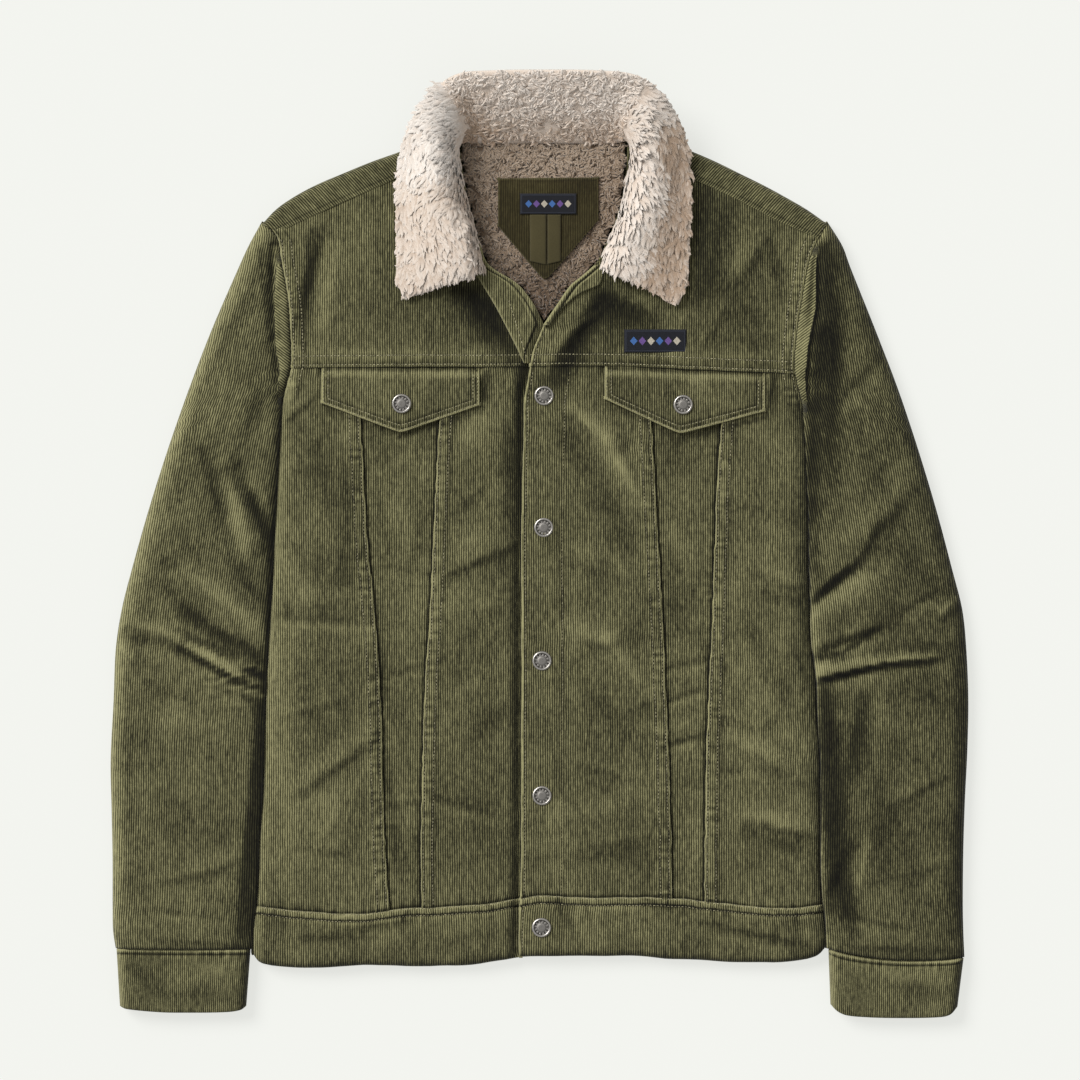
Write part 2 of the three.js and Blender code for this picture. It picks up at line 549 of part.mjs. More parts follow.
function sleeveTop(side, row, share) {
  const { x, y, width } = placeOnSleeve(side, row, share);
  const innerEdge = readRow(sleeves[side], 'innerZ', row);
  const fromOuter = 1 - rounding(share * width, SLEEVE.reach);
  const fromInner = 1 - rounding((1 - share) * width, SLEEVE.reach);
  const drop = (SLEEVE.crown - SLEEVE.outerEdge) * fromOuter + (SLEEVE.crown - innerEdge) * fromInner;
  const fold = foldHeight(sleeveFolds, x, y) * (1 - 0.7 * fromOuter) * (1 - 0.5 * fromInner);
  return [x, y, Math.max(SLEEVE.crown - drop + fold, SLEEVE.outerEdge)];
}

function sleeveUnderside(side, row, share) {
  const { x, y, width } = placeOnSleeve(side, row, share);
  const toEdge = Math.min(share, 1 - share) * width;
  return [x, y, SLEEVE.floorRound * (1 - rounding(toEdge, SLEEVE.floorReach))];
}

function addSleeves() {
  const across = [0, 0.02, 0.07, 0.16, 0.32, 0.5, 0.68, 0.84, 0.94, 1];
  const below = [0, 0.02, 0.08, 0.5, 0.92, 0.98, 1];
  for (const side of ['left', 'right']) {
    const last = sleeves[side].length - 1;
    const sheets = { top: [[], []], under: [[], []] };
    for (let r = 0; r <= SLEEVE.rows; r += 1) {
      const row = last * r / SLEEVE.rows;
      const end = r === 0 || r === SLEEVE.rows;
      const flat = (shares, z) => shares.filter((share) => end || share === 0 || share === 1).map((share) => {
        const { x, y } = placeOnSleeve(side, row, share);
        return [x, y, z];
      });
      sheets.top[0].push(across.map((share) => sleeveTop(side, row, share)));
      sheets.top[1].push(flat(across, FRONT_INSIDE));
      sheets.under[0].push(below.map((share) => sleeveUnderside(side, row, share)));
      sheets.under[1].push(flat(below, BACK_WALL));
    }
    add(`top_sleeve_${side}`, wall(...sheets.top), corduroy);
    add(`under_sleeve_${side}`, wall(...sheets.under), corduroy);
  }
}

// Cuffs: flattened tubes, from the sleeve's seam to the free end
function addCuffs() {
  const { arcSteps, flatSteps } = CUFF;
  for (const side of ['left', 'right']) {
    const at = (name, share) => read(cuffs[side], 'share', name, share);
    // Round the tube: a flat side, a half circle, the other flat side and a half circle
    const ring = (inset, down) => {
      const half = CUFF.height / 2 - inset;
      const long = (at('x', 1) - at('x', 0)) / 2;
      const around = [];
      for (const end of [-1, 1]) {
        for (let k = 0; k <= arcSteps; k += 1) {
          const angle = Math.PI * k / arcSteps - Math.PI / 2;
          const reach = long - CUFF.height / 2 + half * Math.cos(angle);
          around.push([end * reach, end * half * Math.sin(angle)]);
        }
        for (let k = 1; k < flatSteps; k += 1) {
          around.push([end * mix(long - CUFF.height / 2, CUFF.height / 2 - long, k / flatSteps), end * half]);
        }
      }
      return around.map(([offset, z]) => {
        const share = offset / (2 * long) + 0.5;
        const x = mix(at('x', share), at('endX', share), down);
        return [x, mix(at('seam', share), at('end', share), down), z + CUFF.height / 2];
      });
    };
    const steps = [0, 0.34, 0.67, 1];
    const outer = steps.map((down) => ring(0, down));
    const inner = steps.map((down) => ring(CUFF.wall, down));
    add(`cuff_${side}`, wall(outer, inner, true), corduroy);
  }
}

// A place on the collar's middle sheet, between its pile and its corduroy
function collarSheet(row, share) {
  const at = (name) => readRow(collar, name, row);
  const neckPoint = new THREE.Vector3(at('neckX'), at('neckY'), at('neckZ'));
  const crest = new THREE.Vector3(at('crestX'), at('crestY'), at('crestZ'));
  const free = new THREE.Vector3(at('freeX'), at('freeY'), at('freeZ'));
  const { turn } = COLLAR;
  const rolledPoint = new THREE.Vector3();
  if (share < turn) {
    const angle = Math.PI / 2 * share / turn;
    rolledPoint.lerpVectors(neckPoint, crest, 1 - Math.cos(angle));
    rolledPoint.z = mix(neckPoint.z, crest.z, Math.sin(angle));
  } else {
    const t = (share - turn) / (1 - turn);
    rolledPoint.lerpVectors(crest, free, t);
    rolledPoint.z = mix(crest.z, free.z, t * t * (3 - 2 * t));
  }
  const standing = neckPoint.clone().multiplyScalar((1 - share) * (1 - 2 * share));
  standing.addScaledVector(crest, 4 * share * (1 - share)).addScaledVector(free, share * (2 * share - 1));
  return rolledPoint.lerp(standing, at('stand'));
}

// The collar's two layers are this sheet moved out along its normals
function addCollar() {
  const last = collar.length - 1;
  const shares = [0, 0.13, 0.26, 0.4, 0.55, 0.7, 0.85, 1];
  const step = 0.02;
  const offset = (row, share, distance) => {
    const place = collarSheet(row, share);
    const low = Math.max(row - step, 0);
    const high = Math.min(row + step, last);
    const along = collarSheet(high, share).sub(collarSheet(low, share));
    const out = collarSheet(row, Math.min(share + step, 1)).sub(collarSheet(row, Math.max(share - step, 0)));
    return place.addScaledVector(along.cross(out).normalize(), distance).toArray();
  };
  const layer = (from, to) => {
    const sheets = [to, from].map((distance) => {
      const rows = [];
      for (let r = 0; r <= COLLAR.rows; r += 1) {
        rows.push(shares.map((share) => offset(last * r / COLLAR.rows, share, distance)));
      }
      return rows;
    });
    return wall(...sheets);
  };
  add('collar_pile', layer(SEAM_GAP / 2, COLLAR.pile), pile);
  add('under_collar', layer(-COLLAR.corduroy, -SEAM_GAP / 2), corduroy);
}

// A pointed piece on what lies below it: upright sides and a low edge that runs down to a rounded tip
function pointedPiece(shape, ground, gap, thickness) {
  const low = (x) => {
    const toSide = x < shape.tipX ? shape.tipX - shape.left : shape.right - shape.tipX;
    const side = x < shape.tipX ? shape.sideLeft : shape.sideRight;
    const away = Math.hypot(x - shape.tipX, FLAP.tipRound) - FLAP.tipRound;
    return shape.tipY + (side - shape.tipY) * away / toSide;
  };
  const high = (x) => mix(shape.topLeft, shape.topRight, (x - shape.left) / (shape.right - shape.left));
  const panel = { left: () => shape.left, right: () => shape.right, low, high };
  const outside = (x, y) => ground(x, y) + gap + thickness;
  const inside = (x, y) => ground(x, y) + gap;
  const steps = columns([0, 5], 8, [5, 0]);
  return panelWall(panel, steps, 4, outside, inside, [1, 2, 3, 4, 5, 6, 7, 8, 9]);
}

function addFlaps() {
  for (const [name, shape] of [['flap_left', flapLeft], ['flap_right', flapRight]]) {
    add(name, pointedPiece(shape, frontTop, FLAP.gap, FLAP.thickness), corduroy);
  }
}

// Facings turned out on the yokes beside the neck
function addFacings() {
  const leftEdge = (y) => read(facingEdges.left, 'y', 'edge', y);
  const rightEdge = (y) => read(facingEdges.right, 'y', 'edge', y);
  const besidePlacket = (y) => Math.min(neckLeft(y), y < rollEdge ? placketEdge(y) - SEAM_GAP : neckLeft(y));
  const panels = [
    ['facing_left', leftEdge, besidePlacket, FACING.leftLow, FACING.leftHigh, leftTop],
    ['facing_right', neckRight, rightEdge, FACING.rightLow, FACING.rightHigh, frontTop],
  ];
  const steps = columns([0], 4, [0]);
  for (const [name, left, right, low, high, ground] of panels) {
    const panel = { left, right, low: () => low, high: () => high };
    const outside = (x, y) => ground(x, y) + FACING.gap + FACING.thickness;
    const inside = (x, y) => ground(x, y) + FACING.gap;
    add(name, panelWall(panel, steps, 12, outside, inside, [1, 2, 3]), corduroy);
  }
}

// Inside the neck: the back's lining, the patch on it, the hanger loop and the neck label
function addNeck() {
  const panel = {
    left: (y) => read(neck, 'y', 'left', y) + LINING.gap,
    right: (y) => read(neck, 'y', 'right', y) - LINING.gap,
    low: () => rollEdge + 3,
    high: () => 326.4,
  };
  const steps = columns([0], 6, [0]);
  add('back_lining', panelWall(panel, steps, 18, () => LINING.top, () => LINING.bottom), shadedPile);
  const liningTop = () => LINING.top;
  add('locker_patch', pointedPiece(lockerPatch, liningTop, SEAM_GAP, PATCH_THICKNESS), twill);
  const onPatch = LINING.top + SEAM_GAP + PATCH_THICKNESS + SEAM_GAP;
  const turned = new THREE.Shape();
  turned.moveTo(loop.left, loop.top);
  turned.lineTo(loop.left, loop.low + loop.corner);
  turned.lineTo(loop.left + loop.corner, loop.low);
  turned.lineTo(loop.right - loop.corner, loop.low);
  turned.lineTo(loop.right, loop.low + loop.corner);
  turned.lineTo(loop.right, loop.top);
  turned.lineTo(loop.slotX + loop.slot, loop.top);
  turned.lineTo(loop.slotX + loop.slot, loop.turn);
  turned.lineTo(loop.slotX, loop.turn);
  turned.lineTo(loop.slotX, loop.top);
  const ribbon = new THREE.ExtrudeGeometry(turned, { depth: LABEL.thickness, bevelEnabled: false });
  add('hanger_loop', ribbon, twill).position.z = onPatch;
  add('label_neck', flatLabel(neckLabel, () => onPatch - LABEL.gap), woven);
  add('label_chest', flatLabel(chestLabel, frontTop), woven);
}

// A woven label that follows what it is sewn to
function flatLabel(shape, ground) {
  const { left, right, low, high } = shape;
  const panel = { left: () => left, right: () => right, low: () => low, high: () => high };
  const outside = (x, y) => ground(x, y) + LABEL.gap + LABEL.thickness;
  const inside = (x, y) => ground(x, y) + LABEL.gap;
  return panelWall(panel, columns([0], 3, [0]), 2, outside, inside, [1, 2]);
}

// Snaps: low domes with a raised rim, each on the cloth it closes
function addSnaps() {
  const { radius, height, rim } = SNAP;
  const profile = [[0, 0], [radius, 0], [radius, height * 0.6], [radius - rim, height],
  [radius - 2 * rim, height * 0.8], [0, height * 0.9]];
  const dome = new THREE.LatheGeometry(profile.map(([r, h]) => new THREE.Vector2(r, h)), SNAP.sides);
  dome.rotateX(Math.PI / 2);
  for (const { name, x, y } of snaps) {
    const flap = name.includes('flap') ? FLAP.gap + FLAP.thickness : 0;
    add(name, dome.clone(), metal).position.set(x, y, frontTop(x, y) + flap + SNAP.gap);
  }
}

addFronts();
addBack();
addBackYoke();
addSleeves();
addCuffs();
addCollar();
addFlaps();
addFacings();
addNeck();
addSnaps();

// The origin is under the middle of the jacket
jacket.updateMatrixWorld(true);
const box = new THREE.Box3().setFromObject(jacket, true);
const middle = box.getCenter(new THREE.Vector3());
jacket.position.set(-middle.x, -middle.y, -box.min.z);
jacket.updateMatrixWorld(true);

export default jacket;
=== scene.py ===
"""A corduroy jacket with a pile lining and collar, closed with snaps and laid flat on its back.

Shapes are worked out in millimetres in the jacket's own frame, X to the viewer's right, Y up
towards the collar and Z up from the floor. in_frame() puts them into the model's metres.
"""
import math
from collections import namedtuple

import bpy
import numpy as np
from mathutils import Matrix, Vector


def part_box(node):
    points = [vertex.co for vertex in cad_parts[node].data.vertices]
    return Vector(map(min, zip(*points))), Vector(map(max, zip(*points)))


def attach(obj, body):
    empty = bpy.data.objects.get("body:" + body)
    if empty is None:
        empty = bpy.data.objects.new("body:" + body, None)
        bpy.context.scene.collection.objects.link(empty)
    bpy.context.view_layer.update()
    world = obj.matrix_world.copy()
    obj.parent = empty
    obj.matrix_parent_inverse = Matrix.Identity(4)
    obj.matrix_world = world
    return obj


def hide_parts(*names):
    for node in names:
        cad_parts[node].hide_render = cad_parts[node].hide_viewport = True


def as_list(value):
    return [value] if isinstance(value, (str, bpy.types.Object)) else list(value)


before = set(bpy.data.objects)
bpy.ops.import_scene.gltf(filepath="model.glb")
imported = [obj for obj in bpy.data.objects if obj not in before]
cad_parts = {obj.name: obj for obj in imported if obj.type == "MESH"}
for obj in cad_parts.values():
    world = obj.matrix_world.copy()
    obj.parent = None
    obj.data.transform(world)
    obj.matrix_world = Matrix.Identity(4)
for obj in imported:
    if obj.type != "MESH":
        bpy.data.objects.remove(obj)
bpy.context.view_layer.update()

# Driving sizes, in millimetres
METRE = 1000
WALE_PITCH = 1.9
CLOTH = 0.9
BACK_WALL = 6.2
FRONT_INSIDE = 6.6
BODY_HEIGHT = 14.6
SIDE_EDGE = {"front": 9, "back": 2.6, "reach": 15, "back_reach": 8}
ARMHOLE = {"gap": 0.45, "fold_start": 115, "fold_end": 160}
UNDERLAP = {"width": 34, "top": 9.8, "dip_start": -9, "dip_end": -1, "neck_start": 150}
POCKET_DROP = 1.2
HEM_ROUND = {"reach": 6, "drop": 3.5}
SHOULDER_FOLD = {"radius": BODY_HEIGHT / 2, "flat_angle": 12, "short_end": 1}
BACK_YOKE_Y = 145
BACK_WAIST_Y = -297
SLEEVE = {"crown": 17, "outer_edge": 8.5, "inner_edge": 11.5, "reach": 16, "inner_reach": 12, "floor_round": 2.8, "floor_reach": 9}
CUFF = {"height": 15, "turned": 12}
COLLAR = {"pile": 7, "root": 3.2, "corduroy": 1.6, "turn": 0.36}
FLAP = {"gap": 0.5, "thickness": 2.4, "tip_round": 2}
FACING = {"gap": 0.8, "thickness": 2.2, "left": (147, 244), "right": (178, 227)}
LINING = {"top": 11.5, "gap": 2, "root": 8.2}
PATCH = {"gap": 0.3, "thickness": 1.2}
LABEL = {"gap": 0.4, "thickness": 0.9}
SNAP = {"radius": 8, "height": 2.3, "gap": 0.25, "dimple": 9, "dimple_end": 17}
LAP = {"rows": (2.1, 9.4), "rise": 1.0, "end": 13, "pucker": 5.6}
FOLD_DEPTH = 1.35
PLACKET_ROWS = (3.2, 33.4)
YOKE_ROWS = (2.4, 9.8)
BAND_ROWS = (0.8, 6.6)
FLAP_ROWS = (1.6, 5.4)
STITCH = {"pitch": 2.9, "share": 0.72, "width": 0.85, "height": 0.42}

# The jacket's place in the frame, from the middle of the lowest snap
LOWEST_SNAP = (1.6, -314.5)


def table(names, rows):
    """Named columns of a short table as arrays, and the rows' numbers as a column of their own."""
    columns = dict(zip(names.split(), np.array(rows, float).T))
    columns["row"] = np.arange(len(rows), dtype=float)
    return columns


# Side seams and armholes, from the hem to the shoulder
outline = table("y left right", [
    [-345, -234.4, 234.2], [-332, -234.6, 234.4], [-315, -234.2, 233.8], [-293, -231.4, 231.4],
    [-268, -229.8, 229.6], [-243, -229, 229.3], [-211, -226.7, 229.6], [-178, -225.7, 229.2],
    [-145, -224.7, 227.2], [-112, -223.4, 225.8], [-80, -221.4, 221.8], [-47, -219.3, 221],
    [-14, -217.7, 219.9], [19, -216.2, 219.8], [52, -214.4, 218.5], [85, -212.5, 216.9],
    [113, -210.3, 214.4], [130, -206.6, 210.2], [145, -202.6, 207.8], [173, -203, 210],
    [200, -204.8, 214.2], [231, -210.4, 220.2], [251, -214.3, 228.3], [262.4, -225.6, 234],
])

# The four seams that slant from the chest to the waistband
slants = table("y outer_left inner_left inner_right outer_right", [
    [-305, -122.6, -96.6, 109, 134.8], [-235, -126.7, -96.8, 107.6, 135.5],
    [-173, -128.3, -95.7, 106, 136.5], [-124, -130, -94.1, 103.6, 138.3],
    [-63, -134.1, -90.4, 101.1, 141.1], [2.5, -140.6, -86.9, 97.1, 143.5],
    [52, -143.5, -84.5, 94.5, 145.4], [101, -146.4, -82, 91.8, 149.1], [146, -148.8, -78.3, 89, 151.3],
])

# Front edge of the placket, which lies over the other front
placket = table("y edge", [
    [-345, -16.8], [-300, -16.8], [-286, -15.6], [-130, -14.8], [-63, -14.5], [-9, -15.2], [49, -14.1],
    [101, -13], [120, -12.2], [134.5, -9.6], [155, -5.8], [166.5, -2], [178, 3.3],
])

# Neck edge of the two fronts
neck = table("y left right", [
    [179.6, 3.2, 3.8], [195.2, -4.5, 14.3], [210.7, -16.4, 25.2], [217.3, -25.8, 33.2],
    [223.9, -37, 41], [230.4, -43.5, 47.4], [240.3, -47.1, 52.4], [260.8, -52.9, 61.1],
    [289.5, -60.3, 69.3], [320.6, -65.2, 71.8],
])

# Level seams and edges, across the jacket
chest_seam = table("x y", [
    [-215, 142.6], [-140, 143.6], [-20, 144], [60, 144.6], [130, 141.4], [215, 138.2],
])
waist_seam = table("x y", [
    [-236, -296.8], [-202, -300.1], [-157, -303.6], [-133, -301.9], [-110, -299], [-82, -297.7],
    [-46, -295.2], [-17, -291.1], [0, -288.6], [33, -289.9], [105, -290.3], [141, -293.6],
    [198, -298.9], [236, -295.2],
])
hem = table("x y", [
    [-235, -335], [-230, -342], [-219, -345.6], [-182, -347.4], [-150, -345.6], [-107, -345.7],
    [-64, -345.1], [-32, -341.1], [-17, -338.7], [0, -337.8], [66, -337.8], [132, -341.1],
    [187, -342.8], [220, -339.7], [229, -336], [235, -329],
])
front_shoulder = table("x y", [
    [-216, 253.2], [-176, 271.8], [-120, 296.8], [-65, 321], [0, 321], [72, 321], [123, 298.5],
    [148, 287.8], [197, 262.6], [228, 248.8],
])
shoulder_fold = table("x y", [
    [-226, 262.4], [-216, 273], [-202, 282.9], [-184, 292.7], [-161, 302.6], [-137, 312.4],
    [-114, 320.6], [-90, 330.5], [-70, 336], [-60, 335.4], [0, 335], [64, 335.4], [75, 336],
    [95, 332.1], [123, 321.4], [144, 312.4], [164, 302.6], [184, 292.7], [202, 282.9], [219, 273],
    [234, 262.4],
])

# How far the shoulder rolls over: 1 where the yoke reaches the front, 0 where it ends at the neck
roll_over = table("x share", [
    [-240, 1], [-80, 1], [-73, 1], [-65, 0], [-58, 0], [0, 0], [62, 0], [70, 0], [78, 1], [85, 1],
    [240, 1],
])

# Sleeves, from the shoulder to the cuff: outer edge, where the inner edge is, its height, the row's sag
sleeves = {
    "left": table("outer_x outer_y inner_y inner_z sag", [
        [-226.6, 263.3, 262, 13, 0], [-237.4, 243.5, 241.9, 14, 0], [-246.4, 223.9, 223.9, 14.6, 0],
        [-267.7, 174.7, 196, 14.6, 0], [-286.6, 125.5, 156.6, 14, 0], [-303.8, 76.3, 115.6, 11, 0],
        [-319.4, 27.1, 59.9, 9, 0], [-333.3, -22.1, 2.5, 9, 0], [-341.5, -54.9, -42.6, 8.5, 0],
        [-346.4, -87.7, -79.5, 8.5, 0], [-348.1, -128.7, -128.7, 9, 0], [-350.5, -177.9, -177.9, 9, 0],
        [-349.7, -218.9, -218.9, 9, 0], [-348.9, -259.9, -259.9, 9, 0], [-348.9, -296.8, -293, 9, 0],
        [-348.5, -317.3, -315.7, 9.5, 0], [-346.4, -331.8, -332.2, 10, 0.4],
    ]),
    "right": table("outer_x outer_y inner_y inner_z sag", [
        [234.9, 263.3, 261.4, 13, 0], [247.2, 243.5, 241.1, 14, 0], [254.6, 223.9, 223.9, 14.6, 0],
        [274.3, 174.7, 189.4, 14.6, 0], [293.1, 125.5, 153.3, 14, 0], [309.5, 76.3, 115.6, 11, 0],
        [324.3, 27.1, 59.9, 9, 0], [337.4, -22.1, 2.5, 9, 0], [345.6, -54.9, -42.6, 8.5, 0],
        [348.9, -87.7, -79.5, 8.5, 0], [350.5, -128.7, -128.7, 9, 0], [349.7, -169.7, -171.4, 9, 0],
        [347.7, -210.7, -210.7, 9, 0], [346.4, -251.7, -251.7, 9, 0], [346, -292.7, -290.3, 9, 1],
        [346.4, -317.3, -313.7, 9.5, 3], [347.3, -339.1, -331.6, 10, 5.6],
    ]),
}

# The roll of the sleeve's head beside the armhole: how wide it is
head_roll = table("y left right", [
    [104, 3, 3], [117, 4, 5], [148, 10.5, 10], [167, 13.4, 10.5], [207, 11.5, 12.5], [245, 5.7, 9],
    [256, 3, 4],
])

# Cuffs: seam and free end at three places across
cuffs = {
    "left": table("share x seam end end_x", [
        [0, -346.4, -332.3, -379, -343.6], [0.05, -340.9, -332.4, -381.2, -338.4],
        [0.3, -313.5, -332.7, -383.8, -312.6], [0.5, -291.5, -332.9, -384.3, -292],
        [0.85, -253.1, -332.8, -383.8, -255.7], [0.96, -241, -332.7, -381.9, -244.2],
        [1, -236.6, -332.7, -379, -240.1],
    ]),
    "right": table("share x seam end end_x", [
        [0, 236.6, -332.6, -377.6, 238.2], [0.05, 242.1, -334.6, -382.9, 243.4],
        [0.12, 249.9, -336.9, -386.3, 250.7], [0.28, 267.6, -339.9, -388, 267.4],
        [0.52, 294.2, -342.2, -388.7, 293.2], [0.85, 330.7, -342, -388, 326.7],
        [0.94, 340.7, -341.2, -385.8, 336.1], [1, 347.3, -340, -379.4, 342.3],
    ]),
}

# Collar, from the left end round the back of the neck: neck edge, crest, free edge, how far it stands
collar = table("neck_x neck_y neck_z crest_x crest_y crest_z free_x free_y free_z stand", [
    [-50, 222, 20.8, -59, 219, 26, -106, 203, 18.6, 0],
    [-52, 231, 20.8, -61, 228, 28, -116, 212, 18.6, 0],
    [-56, 246, 20.2, -65, 243, 30, -115.6, 224, 18.4, 0],
    [-62.5, 272, 18.4, -72, 270, 32, -115.4, 260.8, 18.6, 0],
    [-68.5, 300, 18.4, -78, 299.5, 33, -115, 297.7, 19, 0],
    [-71, 320, 19, -79, 332, 34, -107, 335.4, 25, 0.25],
    [-66, 331, 16.5, -72, 353, 36, -86, 366, 38, 0.7],
    [-54, 330.4, 8.6, -58.6, 360, 32, -67, 380.4, 45, 1],
    [-32, 330.2, 7.8, -34, 360, 31, -38.9, 383.4, 46, 1],
    [4.5, 330.2, 7.8, 4.5, 360, 31, 4.5, 384, 46, 1], [41.4, 330.2, 7.8, 43, 360, 31, 48, 383.4, 46, 1],
    [62, 330.4, 8.6, 67.6, 360, 32, 77.5, 379.8, 45, 1],
    [74.5, 331, 16.5, 81, 352, 36, 97, 366, 38, 0.7],
    [79, 318, 19, 87, 331, 34, 115.6, 337, 25, 0.25],
    [77.5, 300, 18.4, 87, 300, 33, 121.4, 301.8, 19, 0],
    [71, 270, 18.4, 80.5, 267, 32, 121, 260.8, 18.6, 0],
    [62, 246, 20.2, 71, 242, 30, 120.6, 233, 18.4, 0], [59, 236, 20.8, 67, 231, 28, 119.6, 214, 18.6, 0],
    [56.5, 228, 20.8, 65, 222, 26, 112, 195, 18.6, 0],
])

# Pointed pieces: pocket flaps and the patch behind the neck
Pointed = namedtuple("Pointed", "left right top_left top_right side_left side_right tip_x tip_y")
flap_left = Pointed(-178.3, -48.9, 142.2, 141.6, 115.1, 113.4, -113.6, 90.6)
flap_right = Pointed(53.3, 184.6, 143, 137.6, 118.6, 108.2, 115.2, 89.7)
locker_patch = Pointed(-34, 48.4, 298.5, 299.3, 261.6, 266.5, 4.5, 215.7)

# Facings turned out at the neck: the free edge on the yoke
facing_edges = {
    "left": table("y edge", [[146, -12.5], [160.9, -19.4], [192.7, -35.7], [218.9, -51.2], [245, -63]]),
    "right": table("y edge", [[175, 5.4], [193.8, 20.3], [205.2, 34.6], [211.7, 49.2], [228, 51.8]]),
}

# Hanger loop and labels
loop = {"left": -7.8, "right": 17.6, "slot_x": 5.7, "slot": 0.8, "top": 268.6, "turn": 233, "low": 227.6}
neck_label = {"left": -16, "right": 30.3, "low": 269, "high": 285.9}
chest_label = {"left": 69.3, "right": 120.1, "low": 155.8, "high": 174.7}

# Snaps, as seen from the front
snaps = {
    "snap_front_1": (3.7, 120.5), "snap_front_2": (3.4, 12.7), "snap_front_3": (2, -96.3),
    "snap_front_4": (2, -206.6), "snap_front_5": (1.6, -314.5), "snap_flap_left": (-112.8, 114),
    "snap_flap_right": (117.4, 113.2),
}

# Folds of the body and of the sleeves: start, end, half width and height, which is below 0 for a trough
FOLD = "x0 y0 x1 y1 width height"
body_folds = table(FOLD, [
    [29, 105, 62, 76, 8, 2.4], [62, 76, 84, 24, 8, 2.2], [25, -71, 58, -84, 8, 2.2],
    [58, -84, 88, -130, 8, 2], [-24, 95, -24, -18, 8, -0.9], [-82, -26, -24, -2, 8, 1.1],
    [-57, 84, -32, 60, 7, 1.6], [152, -79, 189, -145, 9, 2.4], [181, -22, 214, -39, 8, 2],
    [164, -161, 226, -203, 9, 2.4], [172, -227, 226, -239, 8, 2.2], [-217, -61, -139, -67, 7, -0.8],
    [-217, -48, -150, -52, 8, 0.6], [-139, -161, -196, -203, 9, 1.8], [-196, 3, -164, -30, 10, 1.8],
    [-65, 208, -20, 152, 10, -2], [50, 200, 22, 148, 11, -2], [-176, 248, -196, 175, 10, -1.8],
    [181, 246, 164, 216, 10, 1.8], [-225, -305, -196, -326, 7, -1.4], [-164, -321, -106, -313, 7, -1.4],
    [17, -293, 33, -326, 7, -1.2], [205, -309, 222, -317, 7, -1.2],
])
sleeve_folds = table(FOLD, [
    [-258, 60, -228, -2, 9, 3], [-246, 62, -218, 0, 7, -3], [-336, -70, -228, -121, 6, -2.6],
    [-287, -80, -225, -103, 6, -3], [-266, -106, -225, -121, 6, 2.4], [-303, -14, -246, -80, 8, -2.2],
    [-218, 243, -216, 168, 5, -3], [-216, 168, -211, 122, 5, -3], [218, 134, 226, 19, 10, -3.4],
    [224, -51, 259, -22, 6, -2.6], [226, -92, 279, -71, 6, -2.6], [226, -114, 279, -103, 4, -1.4],
    [279, -103, 328, -97, 4, -1], [226, -107, 279, -98, 4, 2], [279, -98, 328, -94, 4, 1.4], [234, -121, 246, -162, 7, -2.2],
    [255, -252, 238, -293, 9, -1.8], [226, 240, 222, 180, 5, -2.6], [-300, -200, -262, -240, 10, 1.6],
    [300, 40, 262, 0, 10, 1.8],
])

# Small creases on the same cloth
body_creases = table(FOLD, [
    [-140, -111, -96, -104, 3, -0.9], [-133, -219, -97, -213, 3, -0.8], [103, -104, 138, -96, 3, -1],
    [106, -130, 134, -121, 2.4, -1.3], [105, -166, 134, -163, 3, -0.8], [106, -196, 134, -200, 3, -0.8],
    [104, -52, 139, -60, 3, -0.9], [-139, -20, -92, -28, 3, -0.8], [140, -190, 172, -187, 3, -0.8],
    [-70, -210, -24, -222, 4, -0.8], [30, -180, 90, -196, 4, 0.8], [28, 40, 60, 20, 4, -0.8],
    [-205, -140, -160, -128, 4, 0.8], [-200, -250, -150, -262, 4, -0.8], [30, -250, 86, -240, 4, 0.7],
    [48, 187, 28, 172, 3.4, 1.6], [28, 172, 16, 156, 3.4, 1.4], [-120, 190, -90, 152, 6, 0.8],
    [150, 190, 130, 156, 6, 0.8], [-208, 100, -186, 118, 4, 1], [205, 96, 188, 112, 4, 1],
])
sleeve_creases = table(FOLD, [
    [-296, -69, -240, -99, 3.2, 2], [-240, -99, -228, -112, 3, 1.8], [-266, -108, -226, -116, 2.4, 1.6],
    [-262, -114, -228, -127, 2.6, 1], [-341, -84, -326, -100, 4, 0.9], [230, -140, 262, -152, 4, 0.9], [-330, -30, -290, -46, 6, -0.9],
    [330, -40, 296, -58, 6, -0.9], [-268, 150, -240, 110, 7, 1], [280, 150, 250, 118, 7, -1],
    [-330, -200, -296, -214, 7, 0.8], [330, -190, 290, -214, 7, 0.9], [-250, -262, -300, -276, 6, 0.9],
    [340, -262, 296, -270, 6, 0.8], [-320, -300, -270, -308, 5, -0.7], [250, -306, 300, -318, 5, -0.7],
])

